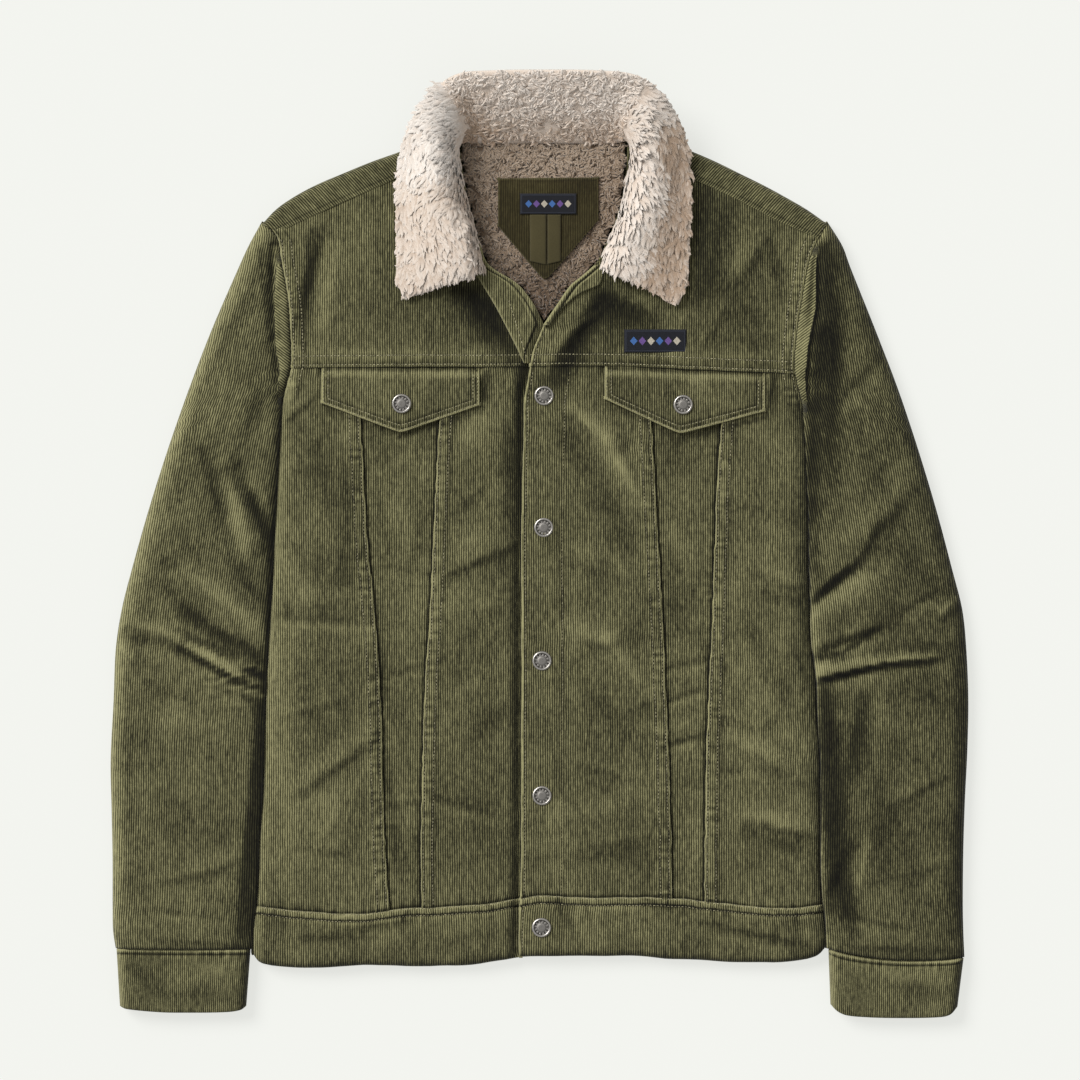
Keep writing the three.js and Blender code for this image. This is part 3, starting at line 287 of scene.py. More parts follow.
# Painted light and shade on the cloth's colour: painted shade below 0 and painted highlight above it, with painted
# shadows beside and below the flaps. A small share of the body's and the sleeves' also lifts the cloth.
body_painted_shading = table(FOLD, [
    [-50, 206, -13, 140, 13.9, -1.2], [-67, 209, -39, 189, 13.1, -1.1],
    [53, 203, 14, 140, 10.7, -1.15], [89, 186, 53, 199, 11.5, -1.2], [17, 135, 33, 157, 9.8, -0.6],
    [132, 306, 131, 203, 9.8, -0.9], [155, 285, 141, 216, 9.8, -0.4], [187, 252, 198, 199, 4.1, -0.6],
    [166, 230, 174, 199, 13.1, 0.3], [-187, 255, -192, 175, 5.7, -0.75],
    [-166, 252, -176, 162, 6.6, 0.35], [-135, 281, -127, 207, 8.2, -0.2],
    [-196, 152, -16, 152, 5.7, 0.3], [50, 152, 197, 153, 5.7, 0.3], [-17, 130, -15, -14, 2.9, -0.8],
    [-26, 93, -23, 15, 6.6, -0.45], [-69, 66, -37, 101, 10.7, 0.35], [-47, 45, -68, 25, 4.9, -0.55],
    [-77, -30, -21, -2, 5.7, -0.3], [-82, -11, -32, 14, 6.6, 0.3], [-88, -57, -32, -47, 10.7, 0.25],
    [-90, -206, -32, -223, 3.3, -0.45], [-90, -215, -32, -232, 4.1, 0.35],
    [-85, -129, -32, -112, 9.8, 0.25], [-57, -162, -23, -129, 6.6, -0.3], [29, 108, 55, 84, 5.7, 0.7],
    [55, 84, 79, 42, 5.7, 0.7], [79, 42, 92, 17, 4.9, 0.5], [23, 89, 50, 53, 9.8, -0.4],
    [50, 43, 77, -14, 9.8, -0.3], [23, -76, 58, -81, 6.6, 0.55], [58, -81, 79, -109, 6.6, 0.6],
    [79, -109, 96, -132, 5.7, 0.5], [41, -121, 79, -165, 10.7, -0.3], [17, -14, 66, -30, 6.6, -0.3],
    [30, -4, 63, -14, 5.7, 0.3], [14, -227, 82, -211, 8.2, 0.2], [22, -260, 82, -248, 4.9, -0.3],
    [102, 19, 125, -16, 8.2, 0.35], [105, -163, 137, -156, 2.5, -0.7],
    [105, -170, 137, -162, 2.5, 0.5], [109, -47, 132, -80, 6.6, -0.25],
    [163, -80, 186, -129, 7.4, 0.5], [186, -129, 207, -163, 7.4, 0.45],
    [153, -158, 205, -183, 8.2, 0.35], [145, -142, 181, -155, 4.9, -0.35],
    [173, -222, 227, -240, 4.9, 0.45], [166, -235, 219, -253, 4.9, -0.4],
    [205, -80, 219, -116, 5.7, -0.45], [185, -27, 211, -32, 4.9, 0.4], [181, -40, 214, -47, 4.1, -0.4],
    [132, -80, 141, -121, 4.1, -0.3], [156, 101, 205, 60, 13.1, 0.15], [156, 35, 214, 19, 6.6, -0.25],
    [-208, -14, -187, -48, 10.7, 0.35], [-213, -61, -137, -66, 3.3, -0.15],
    [-213, -68, -137, -72, 3.3, 0.3], [-206, -80, -205, -285, 10.7, 0.35],
    [-159, 2, -155, -47, 11.5, -0.25], [-137, -129, -126, -203, 4.9, -0.4],
    [-182, -245, -146, -180, 13.1, 0.2], [-196, -129, -164, -162, 8.2, -0.2],
    [-188, 68, -164, 19, 11.5, -0.2], [-133, -47, -129, -129, 4.9, -0.5],
    [-124, -170, -118, -268, 4.9, -0.5], [-105, -14, -93, 35, 6.6, -0.25],
    [-114, 68, -108, 2, 6.6, 0.15], [-196, -322, -137, -322, 4.1, -0.6],
    [-205, -307, -128, -308, 4.1, 0.3], [-113, -316, -109, -298, 2.5, -0.5],
    [50, -298, 92, -303, 4.1, 0.4], [84, -296, 125, -298, 3.3, -0.6],
    [127, -308, 225, -330, 3.3, -0.6], [132, -321, 205, -335, 4.1, 0.3],
    [207, -298, 214, -321, 3.3, -0.4], [159, -296, 205, -299, 3.3, 0.35],
    [-82, -326, -32, -317, 4.9, -0.25], [17, -293, 33, -329, 3.3, -0.4],
    [-45, 140, -46, 113, 3.7, -0.95], [-173, 109, -114, 88, 2.6, -0.6], [-113, 88, -49, 109, 3, -0.8],
    [191, 137, 188, 107, 3.7, -0.95], [55, 115, 115, 86, 2.6, -0.6], [117, 86, 186, 104, 3, -0.8],
    [148, 289, 156, 166, 41, -0.3], [50, 199, 82, 158, 32.8, -0.35], [-98, 199, -32, 166, 24.6, -0.15],
    [41, 35, 50, -260, 24.6, -0.12], [-65, -47, -57, -260, 21.3, -0.12],
    [-128, 60, -114, 11, 8.2, 0.25], [-159, 66, -155, 11, 7.4, -0.3], [-74, 93, -73, 60, 6.6, -0.3],
    [-90, 124, -60, 135, 5.7, 0.3], [-142, 134, -142, 114, 8.2, -0.3],
    [-209, 239, -204, 117, 5.7, 0.4], [214, 240, 211, 117, 4.9, 0.35],
])
sleeve_painted_shading = table(FOLD, [
    [-228, -129, -246, -329, 7.4, -1.1], [-215, 31, -221, -14, 3.3, -0.8],
    [-221, -14, -223, -121, 2.9, -0.7], [-237, 40, -218, 1, 5.7, -1.2],
    [-253, 48, -239, -14, 6.6, 0.8], [-275, 78, -260, 19, 8.2, -0.6], [-269, 98, -247, 162, 8.2, 0.2],
    [-242, 88, -228, 124, 7.4, -0.45], [-287, -24, -257, -47, 6.6, 0.6],
    [-257, -47, -228, -76, 6.6, 0.7], [-307, -33, -292, -50, 6.6, -0.5],
    [-292, -50, -268, -71, 6.6, -0.9], [-268, -71, -244, -82, 5.7, -1],
    [-244, -82, -227, -94, 4.9, -1], [-333, -67, -311, -71, 3.3, 0.6],
    [-311, -71, -287, -84, 4.1, 0.9], [-287, -84, -268, -95, 4.1, 1.1],
    [-268, -95, -246, -109, 3.7, 1.1], [-296, -85, -277, -96, 3.3, -1],
    [-277, -96, -263, -104, 3.3, -1.3], [-263, -104, -246, -112, 3.3, -1.5],
    [-246, -112, -234, -116, 2.5, -1.5], [-243, -102, -236, -104, 3.3, -1.8],
    [-236, -104, -224, -109, 3.7, -2.2], [-268, -109, -246, -114, 1.5, 1],
    [-246, -114, -224, -116, 1.5, 1.1], [-272, -116, -249, -118, 1.6, 0.8],
    [-249, -118, -239, -121, 1.6, 1], [-239, -121, -224, -126, 1.6, 1],
    [-244, -124, -229, -132, 4.1, -0.8], [-340, -74, -319, -81, 4.9, -0.7],
    [-342, -85, -330, -97, 2.5, 0.7], [-321, -114, -285, -129, 6.6, -0.35],
    [-319, -145, -254, -157, 13.1, 0.15], [-252, -14, -228, -47, 6.6, -0.5],
    [-295, 11, -274, -22, 8.2, -0.3], [-260, -129, -228, -134, 4.1, 0.5],
    [-328, -244, -278, -260, 14.8, 0.12], [-319, -324, -246, -330, 4.1, -0.35],
    [-336, -80, -339, -293, 4.9, -0.3], [-228, 240, -221, 175, 4.1, -0.5],
    [232, 244, 230, 175, 9, -1.5], [230, 175, 226, 117, 10.7, -1.5], [226, 117, 223, 35, 10.7, -1.5],
    [223, 35, 220, -43, 7.4, -1.1], [243, 199, 240, 101, 6.6, -0.5], [226, -42, 241, -29, 4.1, -1.2],
    [241, -29, 259, -16, 4.1, -1.3], [259, -16, 270, -3, 4.1, -1], [270, -3, 279, 19, 4.9, -0.6],
    [246, -52, 287, -19, 6.6, 0.4], [223, -93, 245, -91, 4.1, -1.4], [245, -91, 259, -82, 4.1, -1.4],
    [259, -82, 275, -71, 4.1, -1], [228, -101, 266, -84, 2.5, 0.5], [230, -73, 263, -52, 6.6, -0.3],
    [227, -109, 256, -103, 2.5, 1.2], [256, -103, 274, -99, 2.5, 1.1], [274, -99, 298, -95, 2.5, 1],
    [298, -95, 323, -93, 2.5, 0.8], [227, -113, 251, -107, 3.3, -2.2], [251, -107, 270, -102, 3, -1.8],
    [270, -102, 294, -98, 2.8, -1.1], [294, -98, 319, -98, 2.5, -0.8], [327, -59, 342, -43, 2, 0.7],
    [329, -63, 345, -50, 3.3, -0.5], [298, -81, 345, -86, 6.6, -0.3],
    [232, -124, 241, -296, 13.9, -1.6], [264, -124, 256, -186, 8.2, -0.9],
    [248, -276, 255, -321, 8.2, -0.8], [269, -245, 258, -293, 3.3, 0.5], [296, 60, 279, 2, 8.2, 0.25],
    [296, -47, 337, -57, 4.9, 0.3], [279, -145, 328, -178, 13.1, 0.15],
    [300, -121, 333, -129, 4.9, -0.3], [255, 134, 271, 60, 9.8, -0.25],
    [279, -194, 271, -293, 8.2, -0.25], [304, -211, 325, -276, 9.8, 0.15],
    [246, -330, 337, -334, 4.1, -0.5], [343, -80, 342, -293, 4.9, -0.3],
    [271, 93, 320, -14, 6.6, 0.15], [287, 166, 304, -326, 50.8, -0.35], [241, 230, 238, 19, 8.2, -0.5],
])
cuff_painted_shading = table(FOLD, [
    [-336, -342, -303, -367, 6.6, -0.4], [-295, -362, -254, -346, 5.7, 0.3],
    [-319, -367, -249, -371, 4.1, -0.3], [255, -346, 296, -354, 5.7, 0.35],
    [279, -362, 328, -367, 4.9, -0.3], [300, -354, 333, -358, 4.1, 0.35],
])

# Broad swells of the fronts, where the pile inside fills them
swells = table("x y reach_x reach_y height", [
    [-130, 210, 60, 40, 1.6], [135, 205, 60, 40, 1.6], [-180, -100, 30, 160, 1.2],
    [182, -100, 30, 160, 1.2], [-60, -100, 26, 150, 1.2], [62, -100, 26, 150, 1.2],
    [-125, -322, 90, 12, 0.8], [125, -318, 90, 12, 0.8],
])


def read(rows, by, want, at):
    """The value of one column where another has the given value.

    Between two rows it is the cubic that meets both values, with each row's slope taken from the
    rows beside it. Past either end it holds the end's value.
    """
    key, value = rows[by], rows[want]
    last = len(key) - 1
    at = np.clip(at, key[0], key[-1])
    i = np.minimum(np.searchsorted(key[1:], at), last - 1)
    before, after = np.maximum(np.arange(last + 1) - 1, 0), np.minimum(np.arange(last + 1) + 1, last)
    slope = (value[after] - value[before]) / (key[after] - key[before])
    span = key[i + 1] - key[i]
    t = (at - key[i]) / span
    rise = t * t * (3 - 2 * t)
    bend = t * (1 - t) ** 2 * span * slope[i] + t * t * (t - 1) * span * slope[i + 1]
    return value[i] + (value[i + 1] - value[i]) * rise + bend


def mix(a, b, share):
    return a + (b - a) * share


def ease(a, b, at):
    """0 before a, 1 after b, and three times the share squared less twice its cube between them."""
    t = np.clip((at - a) / (b - a), 0, 1)
    return t * t * (3 - 2 * t)


def rounding(distance, reach):
    """A quarter circle, from 0 at an edge to 1 at its reach."""
    t = np.clip(distance / reach, 0, 1)
    return np.sqrt(1 - (1 - t) ** 2)


def bell(distance, width):
    """A smooth hump of height 1: e to the power of minus the distance over the width, squared."""
    return np.exp(-(distance / width) ** 2)


def wander(x, y, size, seed):
    """A smooth field between -1 and 1: random corners of a square lattice of the given size, eased between."""
    corners = np.random.default_rng(seed).uniform(-1, 1, (64, 64))
    i, j = np.floor(x / size).astype(int), np.floor(y / size).astype(int)
    s, t = ease(0, 1, x / size - i), ease(0, 1, y / size - j)
    low = mix(corners[i % 64, j % 64], corners[(i + 1) % 64, j % 64], s)
    high = mix(corners[i % 64, (j + 1) % 64], corners[(i + 1) % 64, (j + 1) % 64], s)
    return mix(low, high, t)


def pucker(along, pitch, seed):
    """The gathered edge of a sewn seam: a sine whose own pace and height wander along it."""
    pace = along / pitch + 0.9 * wander(along, 0 * along, 3.2 * pitch, seed)
    return np.sin(2 * np.pi * pace) * (0.65 + 0.5 * wander(along, 0 * along, 2.3 * pitch, seed + 1))


def fold_height(folds, x, y):
    """Height that the folds add: each is a bell across its line, lowest at its two ends.

    A ridge is steeper on its lower right side, a trough on its upper left.
    """
    height = np.zeros(np.broadcast(x, y).shape)
    for x0, y0, x1, y1, width, rise in zip(*(folds[name] for name in FOLD.split())):
        along_x, along_y = x1 - x0, y1 - y0
        t = ((x - x0) * along_x + (y - y0) * along_y) / (along_x ** 2 + along_y ** 2)
        near = np.clip(t, 0, 1)
        off_x, off_y = x - x0 - near * along_x, y - y0 - near * along_y
        away = np.hypot(off_x, off_y)
        facing = (0.5 * off_x - off_y) * math.copysign(1, rise) / (away + 1)
        height += rise * bell(away, width * (0.85 - 0.35 * np.clip(2 * facing, -1, 1))) * (0.55 + 1.8 * near * (1 - near))
    return height


def ripple(along, size, seed):
    """How a sewn edge wanders off its line."""
    return wander(along, 0 * along, size, seed) + 0.5 * wander(along, 0 * along, size / 2, seed + 1)


def scallop(y):
    """The gathered edge along an armhole."""
    return 0.55 * np.abs(np.sin(np.pi * y / 6.8 + ripple(y, 20, 14))) * ease(98, 125, y)


def body_left(y):
    return read(outline, "y", "left", y) - scallop(y)


def body_right(y):
    return read(outline, "y", "right", y) + scallop(y)


def placket_edge(y):
    return read(placket, "y", "edge", y) + 0.3 * ripple(y, 14, 15)


def underlap_edge(y):
    return placket_edge(y) + UNDERLAP["width"]


def chest(x):
    return read(chest_seam, "x", "y", x) + 0.22 * ripple(x, 12, 16)


def waist(x):
    return read(waist_seam, "x", "y", x) + 0.4 * ripple(x, 11, 17)


def hemline(x):
    return read(hem, "x", "y", x) + 0.5 * ripple(x, 26, 18)


def shoulder(x):
    return read(front_shoulder, "x", "y", x)


def slant(name):
    return lambda y: read(slants, "y", name, y) + 0.45 * ripple(y, 7, len(name) + ord(name[0]))


ROLL_EDGE = neck["y"][0]


def neck_left(y):
    """Neck edge of the front below, which runs on under the placket to the underlap."""
    hidden = mix(underlap_edge(y), neck["left"][0], ease(UNDERLAP["neck_start"], ROLL_EDGE, y))
    return np.where(y < ROLL_EDGE, hidden, read(neck, "y", "left", y))


def neck_right(y):
    return np.where(y < ROLL_EDGE, placket_edge(y), read(neck, "y", "right", y))


def soft_top(x, y):
    """Top of the fronts before any edge: the body's height with its folds and swells."""
    top = BODY_HEIGHT + FOLD_DEPTH * fold_height(body_folds, x, y)
    for sx, sy, reach_x, reach_y, height in zip(*(swells[k] for k in "x y reach_x reach_y height".split())):
        top = top + height * bell(np.hypot((x - sx) / reach_x, (y - sy) / reach_y), 1)
    return top


def to_side(x, y):
    return np.minimum(x - body_left(y), body_right(y) - x)


def side_fold(y):
    """1 where the side is a fold, 0 where it is the armhole's seam."""
    return 1 - ease(ARMHOLE["fold_start"], ARMHOLE["fold_end"], y)


def front_top(x, y):
    """Top of the fronts: level round each snap, and rounded down at the sides and the hem."""
    top = soft_top(x, y)
    for snap_x, snap_y in snaps.values():
        away = np.hypot(x - snap_x, y - snap_y)
        level = soft_top(np.array(snap_x), np.array(snap_y))
        top = mix(level, top, ease(SNAP["dimple"], SNAP["dimple_end"], away))
    round_side = 1 - rounding(to_side(x, y), SIDE_EDGE["reach"])
    top = top - (top - SIDE_EDGE["front"]) * round_side * side_fold(y)
    return top - HEM_ROUND["drop"] * (1 - rounding(y - hemline(x), HEM_ROUND["reach"]))


def left_top(x, y):
    """The front that lies under the placket dips to pass below it."""
    past = x - placket_edge(y)
    return mix(front_top(x, y), UNDERLAP["top"], ease(UNDERLAP["dip_start"], UNDERLAP["dip_end"], past))


def creased(x, y):
    """What the fine creases and the cloth's own unevenness add."""
    own = 1.1 * wander(x, y, 62, 4) + 0.55 * wander(x, y, 29, 5) + 0.22 * wander(x, y, 12, 6)
    return fold_height(body_creases, x, y) * 1.3 + 0.25 * fold_height(body_painted_shading, x, y) + own


def nap_and_painted_light(points):
    """Painted light: the cloth's tone made paler where it faces the sun at the upper left and darker where it faces
    away, by its unit normal's share that way.
    """
    normal = np.cross(np.gradient(points, axis=1), np.gradient(points, axis=0))
    normal /= np.linalg.norm(normal, axis=-1, keepdims=True) * np.where(normal[..., 2:] < 0, -1, 1)
    return 1.5 * np.clip(normal @ np.array([-0.6, 0.7, 0]), -0.5, 0.5)


# Where a piece meets a seam: how far each place is from it, the length along it, and what happens there
Seam = namedtuple("Seam", "distance along kind seed")
Panel = namedtuple("Panel", "left right low high across up ground seams")


def lap_relief(d, s, seed):
    """A folded edge with two rows of stitches: it stands up to the second row, both rows press in."""
    gathers = pucker(s, LAP["pucker"], seed)
    near = bell(d - 5, 5.5)
    height = LAP["rise"] * (1 - ease(LAP["rows"][1], LAP["end"], d)) + 0.4 * gathers * near
    height -= 0.9 * (1 - rounding(d, 1.3))
    tone = 1.7 * bell(d, 1.1) + 0.5 * gathers * near
    for row in LAP["rows"]:
        height -= 0.4 * bell(d - row, 0.9)
        tone -= 0.55 * bell(d - row, 0.8)
    return height, tone + 0.16 * bell(d - 5.5, 3)


def under_relief(d, s, seed):
    """Cloth that runs under its neighbour: it dips at the seam, and small tucks start there. Painted shade darkens it
    along the seam, under the neighbour's edge.
    """
    tucks = pucker(s, 9, seed) * np.exp(-np.maximum(d, 0) / 9)
    return -0.7 * (1 - ease(-1, 3, d)) + 0.35 * tucks, 0.2 * tucks - 1.2 * bell(d - 0.3, 1.4)


def under_yoke_relief(d, s, seed):
    """The panels where they go under the yoke, lower still where a flap goes in between, with a thin painted shade
    along the yoke's edge.
    """
    flaps = sum(ease(f.left - 4, f.left, s) * (1 - ease(f.right, f.right + 4, s)) for f in (flap_left, flap_right))
    tucks = pucker(s, 9, seed) * np.exp(-np.maximum(d, 0) / 9)
    return (-0.35 - 2.4 * flaps) * (1 - ease(2, 12, d)) + 0.3 * tucks, 0.2 * tucks - 0.6 * bell(d, 0.8)


def yoke_relief(d, s, seed):
    """The yoke's flat lower edge, sewn down with two rows."""
    gathers = pucker(s, 6.5, seed) * bell(d - 6, 5)
    height = 0.5 * (1 - ease(YOKE_ROWS[1], 14, d)) - 0.8 * (1 - rounding(d, 1)) + 0.16 * gathers
    tone = 0.3 * bell(d, 0.9) + 0.12 * gathers
    for row in YOKE_ROWS:
        height -= 0.3 * bell(d - row, 0.8)
        tone -= 0.22 * bell(d - row, 0.8)
    return height, tone


def band_relief(d, s, seed):
    """The waistband's top: a puffed strip between two rows, roped by its gathers, then soft tucks. The strip is paler,
    and painted shade darkens the groove at the lower row.
    """
    strip = ease(0, 1.6, d) * (1 - ease(5, 6.6, d))
    ropes = pucker(s + 0.5 * d, 5.2, seed)
    tucks = pucker(s, 11, seed + 7) * ease(5, 8, d) * np.exp(-np.maximum(d - 7, 0) / 11)
    height = strip * (0.9 + 0.45 * ropes) - 0.9 * bell(d - BAND_ROWS[1], 1.1) + 0.7 * tucks
    height -= 0.9 * (1 - rounding(d, 1))
    return height, strip * (0.3 + 0.35 * ropes) - 0.9 * bell(d - BAND_ROWS[1], 0.8) + 0.16 * tucks


def above_band_relief(d, s, seed):
    """The body's cloth where it goes into the waistband, darkened there by painted shade."""
    tucks = pucker(s, 6, seed) * np.exp(-np.maximum(d, 0) / 6)
    return -0.9 * bell(d, 1.6) + 0.5 * tucks, -0.9 * bell(d, 1) + 0.25 * tucks


def placket_relief(d, s, seed):
    """The placket's edge, worn pale, with a row close to it and one at the placket's width."""
    gathers = pucker(s, 8, seed) * bell(d - 4, 6)
    height = 0.3 * (1 - ease(30, 38, d)) - 1 * (1 - rounding(d, 1.6)) + 0.2 * gathers
    tone = 1.9 * bell(d, 1.3) + 0.2 * gathers
    for row in PLACKET_ROWS:
        height -= 0.4 * bell(d - row, 1)
        tone -= 0.3 * bell(d - row, 0.9)
    return height, tone


def armhole_relief(d, s, seed):
    """The body's edge along the armhole: lapped and gathered like the slanting seams, under the arm less."""
    height, tone = lap_relief(d, s, seed)
    share = ease(100, 118, s)
    return height * share, tone * share


def plain_relief(d, s, seed):
    return 0 * d, 0 * d


RELIEFS = {"lap": lap_relief, "under": under_relief, "under_yoke": under_yoke_relief, "yoke": yoke_relief, "band": band_relief,
           "above_band": above_band_relief, "placket": placket_relief, "armhole": armhole_relief}


def from_slant(name, side):
    return lambda x, y: side * (x - slant(name)(y))


def above_chest(x, y):
    return y - chest(x)


def below_chest(x, y):
    return chest(x) - y


def above_waist(x, y):
    return y - waist(x)


def below_waist(x, y):
    return waist(x) - y


def from_placket(x, y):
    return x - placket_edge(y)


def from_left(x, y):
    return x - body_left(y)


def from_right(x, y):
    return body_right(y) - x


def along_x(x, y):
    return x


def along_y(x, y):
    return y


def relief(seams, x, y):
    """Height and tone that all of a piece's seams add."""
    height, tone = np.zeros(x.shape), np.zeros(x.shape)
    for seam in seams:
        more, paler = RELIEFS[seam.kind](seam.distance(x, y), seam.along(x, y), seam.seed)
        height, tone = height + more, tone + paler
    return height, tone


def lines(near, middle, far):
    """Where grid lines lie between two edges: set distances from either, and an even number between.

    Each line is a distance plus a share of the width.
    """
    near, far = np.array(near, float), np.array(far, float)
    k = np.arange(1, middle) / middle
    distance = np.concatenate([near, near[-1] - (near[-1] + far[0]) * k, -far])
    return distance, np.concatenate([0 * near, k, 1 + 0 * far])


def lay(panel):
    """Places on a panel, row by row: each goes to its line between left and right, then low and high."""
    (shift_x, share_x), (shift_y, share_y) = panel.across, panel.up
    shift_y, share_y = shift_y[:, None], share_y[:, None]
    y = np.full((len(shift_y), len(shift_x)), (panel.low(0) + panel.high(0)) / 2)
    for _ in range(30):
        left, right = panel.left(y), panel.right(y)
        x = left + shift_x + share_x * (right - left)
        low, high = panel.low(x), panel.high(x)
        y = mix(y, low + shift_y + share_y * (high - low), 0.6)
    return x, y


def stack(x, y, z):
    return np.stack(np.broadcast_arrays(x, y, z), axis=-1)


def turn(points, side, profile):
    """Adds turned-under lines past one edge: each is the edge's line moved inwards and down."""
    axis, at, inward = {"left": (1, 0, (1, 0)), "right": (1, -1, (-1, 0)),
                        "low": (0, 0, (0, 1)), "high": (0, -1, (0, -1))}[side]
    edge = np.take(points, [at], axis=axis)
    more = [edge + np.array([inward[0] * d, inward[1] * d, -down]) for d, down in profile]
    if at == 0:
        return np.concatenate(more[::-1] + [points], axis=axis)
    return np.concatenate([points] + more, axis=axis)


def close_down(points, side, to, bulge=0.7):
    """Adds a rounded wall past one edge, from the edge's own height down or up to the height given."""
    axis, at, out = {"left": (1, 0, (-1, 0)), "right": (1, -1, (1, 0)),
                     "low": (0, 0, (0, -1)), "high": (0, -1, (0, 1))}[side]
    edge = np.take(points, [at], axis=axis)
    more = []
    for t in (0.2, 0.45, 0.72, 1):
        line = edge.copy()
        line[..., 2] = mix(edge[..., 2], to, t)
        line[..., 0] += out[0] * bulge * math.sin(math.pi * min(t + 0.25, 1))
        line[..., 1] += out[1] * bulge * math.sin(math.pi * min(t + 0.25, 1))
        more.append(line)
    if at == 0:
        return np.concatenate(more[::-1] + [points], axis=axis)
    return np.concatenate([points] + more, axis=axis)


def in_frame(points):
    """The jacket's own millimetres as the frame's metres."""
    return (points + OFFSET) / METRE


low_corner, high_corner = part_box("snap_front_5")
OFFSET = np.array([(low_corner.x + high_corner.x) / 2 * METRE - LOWEST_SNAP[0],
                   (low_corner.y + high_corner.y) / 2 * METRE - LOWEST_SNAP[1], 0])


def mesh_object(name, points, faces, material, uv=None, **values):
    """An object from points in the jacket's millimetres and faces of one size, with a value a point."""
    mesh = bpy.data.meshes.new(name)
    faces = np.asarray(faces, np.int32)
    count, sides = faces.shape
    mesh.vertices.add(len(points))
    mesh.vertices.foreach_set("co", in_frame(points).astype(np.float32).ravel())
    mesh.loops.add(count * sides)
    mesh.loops.foreach_set("vertex_index", faces.ravel())
    mesh.polygons.add(count)
    mesh.polygons.foreach_set("loop_start", np.arange(0, count * sides, sides, dtype=np.int32))
    mesh.polygons.foreach_set("use_smooth", np.ones(count, bool))
    if uv is not None:
        layer = mesh.uv_layers.new(name="cloth")
        layer.uv.foreach_set("vector", uv[faces.ravel()].astype(np.float32).ravel())
    for key, value in values.items():
        attribute = mesh.attributes.new(key, "FLOAT", "POINT")
        attribute.data.foreach_set("value", np.asarray(value, np.float32).ravel())
    mesh.update(calc_edges=True)
    mesh.validate()
    mesh.materials.append(material)
    piece = bpy.data.objects.new(name, mesh)
    bpy.context.scene.collection.objects.link(piece)
    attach(piece, "root")
    return piece


def grid_faces(rows, columns, flip=False, ring=False):
    """Four-sided faces of a grid, counted row by row, wound to face up where rows go up and columns right."""
    index = np.arange(rows * columns).reshape(rows, columns)
    if ring:
        index = np.concatenate([index, index[:, :1]], axis=1)
    faces = np.stack([index[:-1, :-1], index[:-1, 1:], index[1:, 1:], index[1:, :-1]], axis=-1).reshape(-1, 4)
    return faces[:, ::-1] if flip else faces


def across_wales(points):
    """Distance across the wales: arc length along each row, level with X at the row's middle."""
    step = np.hypot(np.diff(points[..., 0], axis=1), np.diff(points[..., 2], axis=1))
    length = np.concatenate([np.zeros((len(points), 1)), np.cumsum(step, axis=1)], axis=1)
    middle = points.shape[1] // 2
    return length - length[:, middle:middle + 1] + points[:, middle:middle + 1, 0]


def cloth(node, points, tone, material, flip=False, ring=False, uv=None, wall=CLOTH):
    """A thin shell of cloth on a grid of points, in place of the plain solid of the same name."""
    rows, columns = points.shape[:2]
    if uv is None:
        uv = np.stack([across_wales(points), points[..., 1]], axis=-1)
    piece = mesh_object(f"{node}_cloth", points.reshape(-1, 3), grid_faces(rows, columns, flip, ring),
                        material, uv.reshape(-1, 2), tone=np.broadcast_to(tone, (rows, columns)))
    thickness = piece.modifiers.new("thickness", "SOLIDIFY")
    thickness.thickness = wall / METRE
    thickness.offset = -1
    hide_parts(node)
    return piece


def pad_tone(tone, points, left=0, right=0, low=0, high=0):
    """The tone grid grown by the turned lines, each with its edge's value."""
    return np.pad(tone, ((low, high), (left, right)), mode="edge")


def linear(*rgb):
    """An sRGB colour of 0 to 255 as linear values, with alpha."""
    share = np.array(rgb) / 255
    value = np.where(share <= 0.04045, share / 12.92, ((share + 0.055) / 1.055) ** 2.4)
    return (*value.tolist(), 1)


class Wire:
    """A shader socket in a Python expression: each operator adds its Math node."""

    def __init__(self, tree, socket):
        self.tree, self.socket = tree, socket

    def math(self, operation, *values):
        node = self.tree.nodes.new("ShaderNodeMath")
        node.operation = operation
        for place, value in zip(node.inputs, (self, *values)):
            join(self.tree, place, value)
        return Wire(self.tree, node.outputs[0])

    def __add__(self, other):
        return self.math("ADD", other)

    def __mul__(self, other):
        return self.math("MULTIPLY", other)

    def __sub__(self, other):
        return self.math("SUBTRACT", other)

    def __truediv__(self, other):
        return self.math("DIVIDE", other)

    def __pow__(self, other):
        return self.math("POWER", other)

    def __rsub__(self, other):
        return self.math("MULTIPLY", -1) + other

    __radd__ = __add__
    __rmul__ = __mul__

    def within(self, low, high):
        """The value held between two numbers."""
        return self.math("MAXIMUM", low).math("MINIMUM", high)


def join(tree, socket, value):
    if isinstance(value, Wire):
        tree.links.new(value.socket, socket)
    else:
        socket.default_value = value


